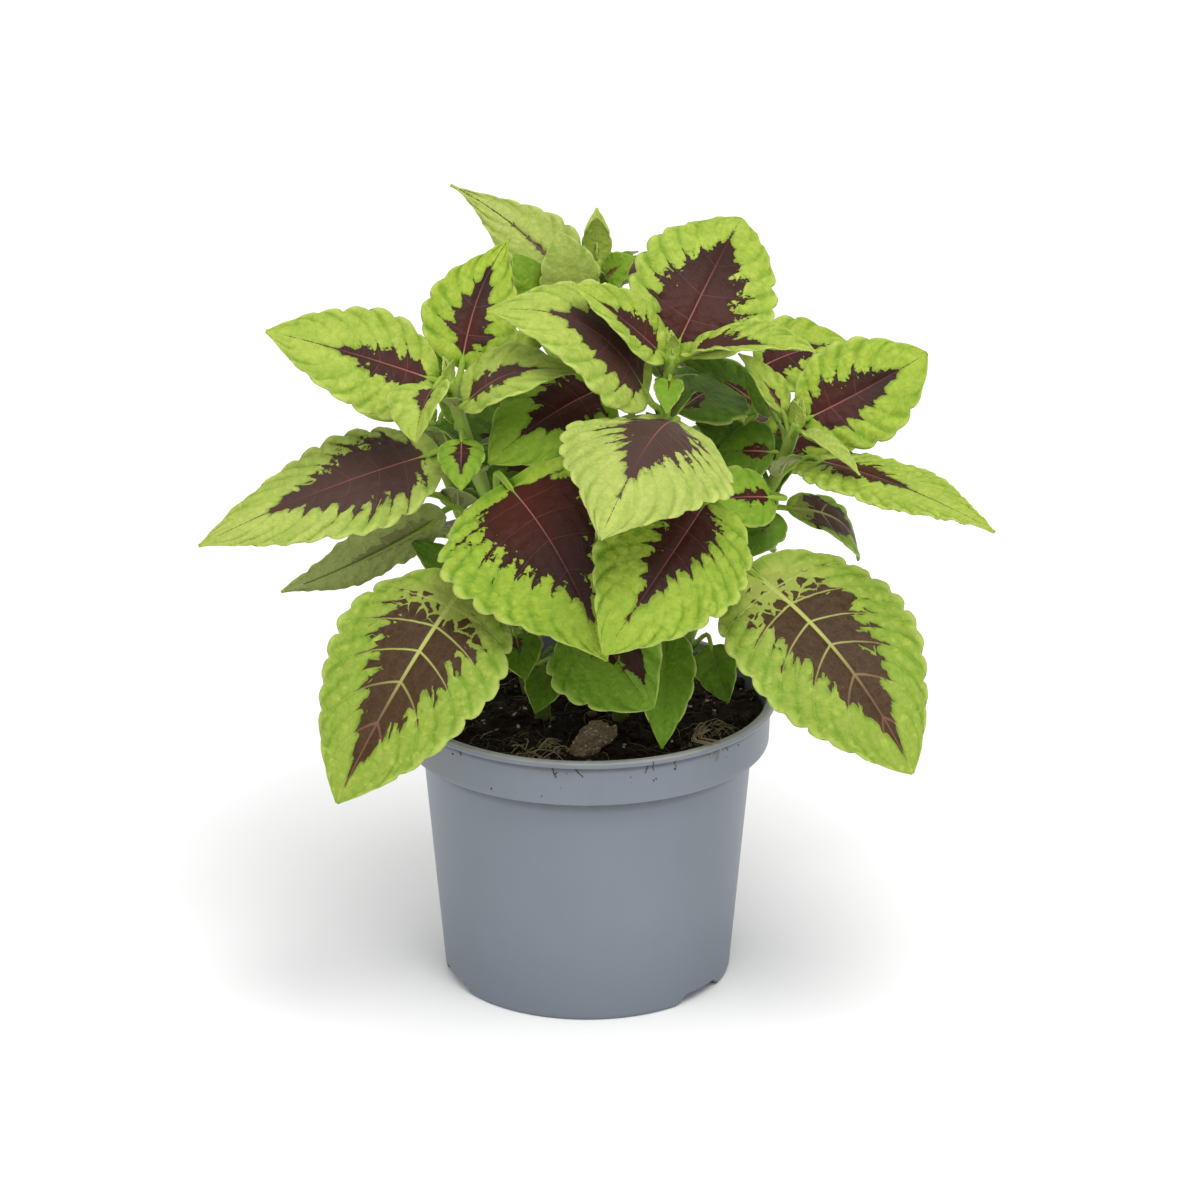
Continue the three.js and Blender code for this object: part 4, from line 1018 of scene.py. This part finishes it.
def make_pot():
    """A lathe of the pot's section; the three arches lift the foot ring's lower edge."""
    section = pot_section()
    angle = np.arange(POT_SIDES) * 2 * math.pi / POT_SIDES
    lift = arch_lift(angle)
    rings = len(section)
    points = []
    for i, (r, z) in enumerate(section):
        near_foot = i < FOOT_RINGS or i == rings - 1
        points.append(rows_of(r * np.cos(angle), r * np.sin(angle), np.maximum(z, lift) if near_foot else z))
    faces = grid_faces(rings, POT_SIDES, closed=True)
    last = (rings - 1) * POT_SIDES
    faces += [(last + j, last + (j + 1) % POT_SIDES, (j + 1) % POT_SIDES, j) for j in range(POT_SIDES)]
    shell = Shell()
    shell.add(np.concatenate(points), faces)
    pot = shell.piece("nursery_pot", POT, "pot", "pot")
    cut_drains(pot)
    pot.data.set_sharp_from_angle(angle=math.radians(38))


# ---- soil, fibres and bark
SOIL_RADIUS = 55.9
FIBRE_LIMIT = 54.5                  # how far from the middle fibres may lie
GRAIN = ((1.1, 0.16, 2.0), (0.9, 0.5, 7.0), (0.4, 1.3, 9.0))    # height, scale and seed of each unevenness
COARSE_GRAIN = GRAIN[:2]
SOIL_CRUMBS, ROOTS = 1900, 150
# a tuft's fibres: ranges of x, y, length, heading, thickness, tone and height of the bow
LEFT_TUFT = (-25, -10), (-40, -29), (4, 11), (-0.6, 1.3), (0.12, 0.3), (0.1, 1), (0.5, 2.2)
RIGHT_TUFT = (33, 42), (-24, -8), (5, 12), (-1.8, 0.9), (0.1, 0.24), (0.5, 1), (0.8, 2.4)
THICK_ROOTS = ((-34, 8), (-22, 26)), ((-28, -14), (-34, -22)), ((22, -42), (34, -34))


def soil_height(x, y):
    broad = np.sin(0.31 * x + 1.3) * np.cos(0.27 * y - 0.4)
    return 86 + 1.1 * (broad + 0.6 * np.sin(0.53 * x - 0.47 * y))


def rough_at(x, y, scale, seed):
    return noise.noise(Vector((x * scale, y * scale, seed)))


def rough(x, y, scale, seed):
    return np.array([rough_at(a, b, scale, seed) for a, b in zip(x, y)])


def height_at(x, y):
    """The height of the soil's top, without its finest grain."""
    z = soil_height(x, y)
    for height, scale, seed in COARSE_GRAIN:
        z = z + height * rough_at(x, y, scale, seed)
    return z


GOLDEN = (1 + 5 ** 0.5) / 2
ENDS = [(a, b) for b in (GOLDEN, -GOLDEN) for a in (-1, 1)]
CORNERS = [(a, b, 0) for a, b in ENDS] + [(0, a, b) for a, b in ENDS] + [(b, 0, a) for a, b in ENDS]
ICOSAHEDRON = [(0, 11, 5), (0, 5, 1), (0, 1, 7), (0, 7, 10), (0, 10, 11), (1, 5, 9), (5, 11, 4), (11, 10, 2),
               (10, 7, 6), (7, 1, 8), (3, 9, 4), (3, 4, 2), (3, 2, 6), (3, 6, 8), (3, 8, 9), (4, 9, 5),
               (2, 4, 11), (6, 2, 10), (8, 6, 7), (9, 8, 1)]


def lump(random, centre, size, flat=1.0):
    """The corners of one crumb: a shaken icosahedron."""
    corners = np.array(CORNERS, float) / 1.9
    corners *= random.uniform(0.7, 1.25, (12, 1)) * random.uniform(0.6, 1.3, 3) * size
    corners[:, 2] *= flat
    return corners @ turned(random.uniform(0, 2 * math.pi)).T + centre


def add_crumb(shell, random, x, y, sizes, fibres, tones):
    """A crumb that lies on the soil, its size, share of fibre colour and tone drawn from ranges."""
    shell.add(lump(random, (x, y, height_at(x, y) + 0.5), random.uniform(*sizes), 0.8), ICOSAHEDRON,
              (random.uniform(*fibres), 0, random.uniform(*tones)))


def add_fibre(shell, random, x, y, length, heading, thick, tone, lift):
    """A fine root or fibre that lies over the crumbs in a loose curve."""
    steps = 9
    path, bend = [], random.uniform(-0.12, 0.12)
    for i in range(steps):
        out = math.hypot(x, y)
        if out > FIBRE_LIMIT:
            x, y = x * FIBRE_LIMIT / out, y * FIBRE_LIMIT / out
        arc = math.sin(math.pi * i / (steps - 1))
        path.append((x, y, height_at(x, y) + 0.5 + lift * arc))
        x += length / steps * math.cos(heading)
        y += length / steps * math.sin(heading)
        heading += bend + random.uniform(-0.22, 0.22)
    points, faces, _ = tube(path, np.full(steps, thick) * np.linspace(1, 0.5, steps), 4)
    shell.add(points, faces, (1, 0, tone))


def add_bed(shell):
    """The body of soil: its lumpy top, and a skirt down inside the pot to the floor."""
    rings, sides = 60, 200
    around = np.arange(sides) * 2 * math.pi / sides
    radius, angle = mesh_grid(np.concatenate([[0.01], np.linspace(1, SOIL_RADIUS, rings - 1)]), around)
    x, y = radius * np.cos(angle), radius * np.sin(angle)
    z = soil_height(x, y)
    for height, scale, seed in GRAIN:
        z = z + height * rough(x, y, scale, seed)
    section = ((55.6, 82), (50.6, 77), (46, 12), (43, 6.2), (20, 5.7), (0.01, 5.7))
    skirt = [rows_of(r * np.cos(around), r * np.sin(around), height) for r, height in section]
    tones = np.clip(0.5 + rough(x, y, 0.3, 3.0), 0, 1)
    look = np.concatenate([rows_of(0, 0, tones * 0.4), np.zeros((len(section) * sides, 3))])
    faces = grid_faces(rings + len(section), sides, closed=True)
    shell.add(np.concatenate([rows_of(x, y, z), *skirt]), faces, look)


def add_crumbs(shell, random):
    """Crumbs of all sizes over the whole top, a few of them pale grit."""
    for _ in range(SOIL_CRUMBS):
        x, y = spot(55 * math.sqrt(random.uniform()), random.uniform(0, 2 * math.pi))
        size = random.choice([0.55, 0.8, 1.2, 1.9], p=[0.4, 0.32, 0.2, 0.08])
        grit = 0.8 if size < 1 and random.uniform() < 0.05 else 0.0
        fibre = 0.5 if random.uniform() < 0.06 else 0.0
        shell.add(lump(random, (x, y, height_at(x, y) + 0.25 * size), size, 0.8), ICOSAHEDRON,
                  (fibre, grit, random.uniform(0, 0.8)))


def add_fibres(shell, random):
    """Fine roots over the whole top, tufts of coarse fibres with crumbs in them, and three thick roots."""
    def draw(*ranges):
        return [random.uniform(*r) for r in ranges]

    for _ in range(ROOTS):
        place = spot(53 * math.sqrt(random.uniform()), random.uniform(0, 2 * math.pi))
        add_fibre(shell, random, *place, *draw((5, 18), (0, 6.28), (0.07, 0.17), (0, 0.45), (0.3, 1.6)))
    for _ in range(34):
        add_fibre(shell, random, *draw(*LEFT_TUFT))
    for _ in range(70):
        add_crumb(shell, random, *draw((-26, -6), (-41, -30)), (0.35, 0.9), (0.2, 0.9), (0.2, 1))
    for _ in range(110):
        degrees, radius = draw((-105, -40), (44, 54))
        add_crumb(shell, random, *spot(radius, math.radians(degrees)), (0.4, 1.1), (0, 0.5), (0.2, 0.8))
    for _ in range(20):
        add_fibre(shell, random, *draw(*RIGHT_TUFT))
    for start, end in THICK_ROOTS:
        x, y = np.subtract(end, start)
        add_fibre(shell, random, *start, np.hypot(x, y), math.atan2(y, x), 0.3, 0.6, 1.2)


def make_soil():
    random = np.random.default_rng(11)
    shell = Shell("soil_look")
    add_bed(shell)
    add_crumbs(shell, random)
    add_fibres(shell, random)
    shell.piece("potting_soil", SOIL, "soil", "soil")


# Threads on the collar are (degrees round, upper height, lower height, slant in degrees, tone), and crumbs
# are (degrees round, height).
THREADS = ((-100.6, 90.5, 87.6, 1.4, 0), (-99.2, 89.2, 87.4, -0.6, 0), (-93.6, 90.8, 87.8, 2.6, 0),
           (-70.2, 92.4, 88.6, 0.6, 0.05), (-71.2, 90.4, 88.2, -1.2, 0.05), (-62.8, 91.4, 88.4, 0.8, 0.1),
           (-133.0, 91.2, 88.9, 1.0, 0), (-43.0, 91.0, 88.8, 1.4, 0.1))
CRUMBS = ((-68.6, 85.7), (-69.4, 85.3), (-62.3, 88.0), (-76.6, 87.3), (-36.2, 88.9), (-120.6, 80.7),
          (-135.5, 88.6), (-104.0, 80.8))
COLLAR_HEIGHTS = 79.6, 90.2, 90.9, 91.2, 92.1, 92.6, 93.2
COLLAR_RADII = 57.8, 58.25, 58.6, 59.7, 60.0, 59.85, 58.9


def on_collar(degrees, z, proud=0.08):
    """A place on the outside of the collar or the lip."""
    reach = np.interp(z, COLLAR_HEIGHTS, COLLAR_RADII) + proud
    return (*spot(reach, math.radians(degrees)), z)


def add_strand(shell, points, thick, tone):
    steps = 12
    tubed, faces, _ = tube(Curve(points).path(steps), np.linspace(thick, 0.5 * thick, steps), 5)
    shell.add(tubed, faces, (1, 0, tone))


def make_rim_dirt():
    """Threads and crumbs of soil that stick to the collar, and a bundle of fibres that hangs over the rim."""
    random = np.random.default_rng(23)
    shell = Shell("soil_look")
    for degrees, top, low, slant, tone in THREADS:
        points = [on_collar(degrees + slant * k / 4 + random.uniform(-0.3, 0.3), z)
                  for k, z in enumerate(np.linspace(top, low, 5))]
        add_strand(shell, points, 0.2, tone)
    for degrees, z in CRUMBS:
        crumb = lump(random, on_collar(degrees, z, 0.1), random.uniform(0.2, 0.36))
        shell.add(crumb, ICOSAHEDRON, (0.25, 0, 0.2))
    for _ in range(9):
        degrees, low = random.uniform(-51, -46), random.uniform(86.5, 91)
        x, y, _ = on_collar(degrees, 92)
        inside = (random.uniform(35, 40), random.uniform(-22, -12), 88.5)
        points = [inside, (0.85 * x, 0.85 * y, 92.5), (0.985 * x, 0.985 * y, 93.3),
                  on_collar(degrees, 91.3), on_collar(degrees + 0.5, low)]
        add_strand(shell, points, random.uniform(0.12, 0.2), random.uniform(0.3, 0.9))
    shell.piece("rim_dirt", SOIL, "soil")


def make_bark():
    """The flake of bark: ragged sheets on each other, wide at the upper end and split at the lower."""
    random = np.random.default_rng(5)
    shell = Shell()
    c, s = math.cos(math.radians(-16)), math.sin(math.radians(-16))
    tilt = np.array([[c, 0, s], [0, 1, 0], [-s, 0, c]])
    spin = turned(math.radians(52))
    rows, columns = 40, 24
    u, w = mesh_grid(np.linspace(-1, 1, rows), np.linspace(-1, 1, columns))
    for layer in range(6):
        length = 10.4 - 0.7 * layer + random.uniform(-0.7, 0.7)
        half = np.interp(u, [-1, -0.7, -0.2, 0.35, 0.8, 1], [1.6, 3.4, 4.4, 5.6, 5.2, 3.4]) - 0.45 * layer
        notched = 0.9 * rough(u * 4 + 3 * layer, np.sign(w) * 2, 1.0, 1.7 * layer)
        y = w * np.maximum(half + notched, 0.8) + random.uniform(-0.5, 0.5)
        ends = 1.6 * rough(w * 2.6, np.sign(u) * 3, 1.0, 5.3 + layer)
        x = u * length + ends * np.abs(u) ** 5 + random.uniform(-0.5, 0.5)
        cracks = -0.5 * np.exp(-(rough(x * 0.25, y * 1.1, 1.0, 2.0 + layer) / 0.06) ** 2)
        z = -1.9 + 0.72 * layer + 0.55 * rough(x, y, 0.4, 1.0 + layer) + cracks - 0.4 * w ** 4
        sheet = np.concatenate([rows_of(x, y, z + 0.45), rows_of(x, y, z - 0.45)])
        shell.add(sheet @ tilt.T @ spin.T + np.array([0, -29, 88.7]), slab_faces(rows, columns))
    piece = shell.piece("bark_flake", BARK, "bark", "bark_chip")
    piece.data.set_sharp_from_angle(angle=math.radians(50))


# ---- stage, light and camera, in metres
def make_floor():
    size = 6.0
    mesh = bpy.data.meshes.new("floor")
    corners = [(-size, -size, 0), (size, -size, 0), (size, size, 0), (-size, size, 0)]
    mesh.from_pydata(corners, [], [(0, 1, 2, 3)])
    mesh.materials.append(Nodes("pale floor").finish((250, 250, 250), 0.9, 0.1))
    link("floor", mesh)


def make_world():
    world = bpy.data.worlds.new("studio")
    world.use_nodes = True
    colour, strength = world.node_tree.nodes["Background"].inputs[:2]
    colour.default_value, strength.default_value = (1, 1, 1, 1), 0.8
    bpy.context.scene.world = world


def make_lamp(name, kind, place, **settings):
    """A lamp that shines at the plant's middle."""
    light = bpy.data.lights.new(name, kind)
    for key, value in settings.items():
        setattr(light, key, value)
    item = link(name, light)
    item.location = place
    item.rotation_mode = "QUATERNION"
    item.rotation_quaternion = (Vector((0, 0, 0.12)) - Vector(place)).to_track_quat("-Z", "Y")


def make_camera():
    data = bpy.data.cameras.new("camera")
    data.sensor_width, data.lens = 36, 136.98
    data.clip_start, data.clip_end = 0.05, 30
    camera = link("camera", data)
    camera.location = (0.004, -1.350, 0.621)
    camera.rotation_euler = (math.radians(69.8), 0, 0)
    bpy.context.scene.camera = camera


make_plant()
make_pot()
make_soil()
make_rim_dirt()
make_bark()
make_floor()
make_world()
make_lamp("broad", "SUN", (0.12, -0.5, 1.25), energy=1.2, angle=math.radians(50))
make_lamp("key", "AREA", (0.25, -0.6, 1.1), energy=4, shape="DISK", size=0.5)
make_camera()
bpy.context.scene.view_settings.view_transform = "Standard"
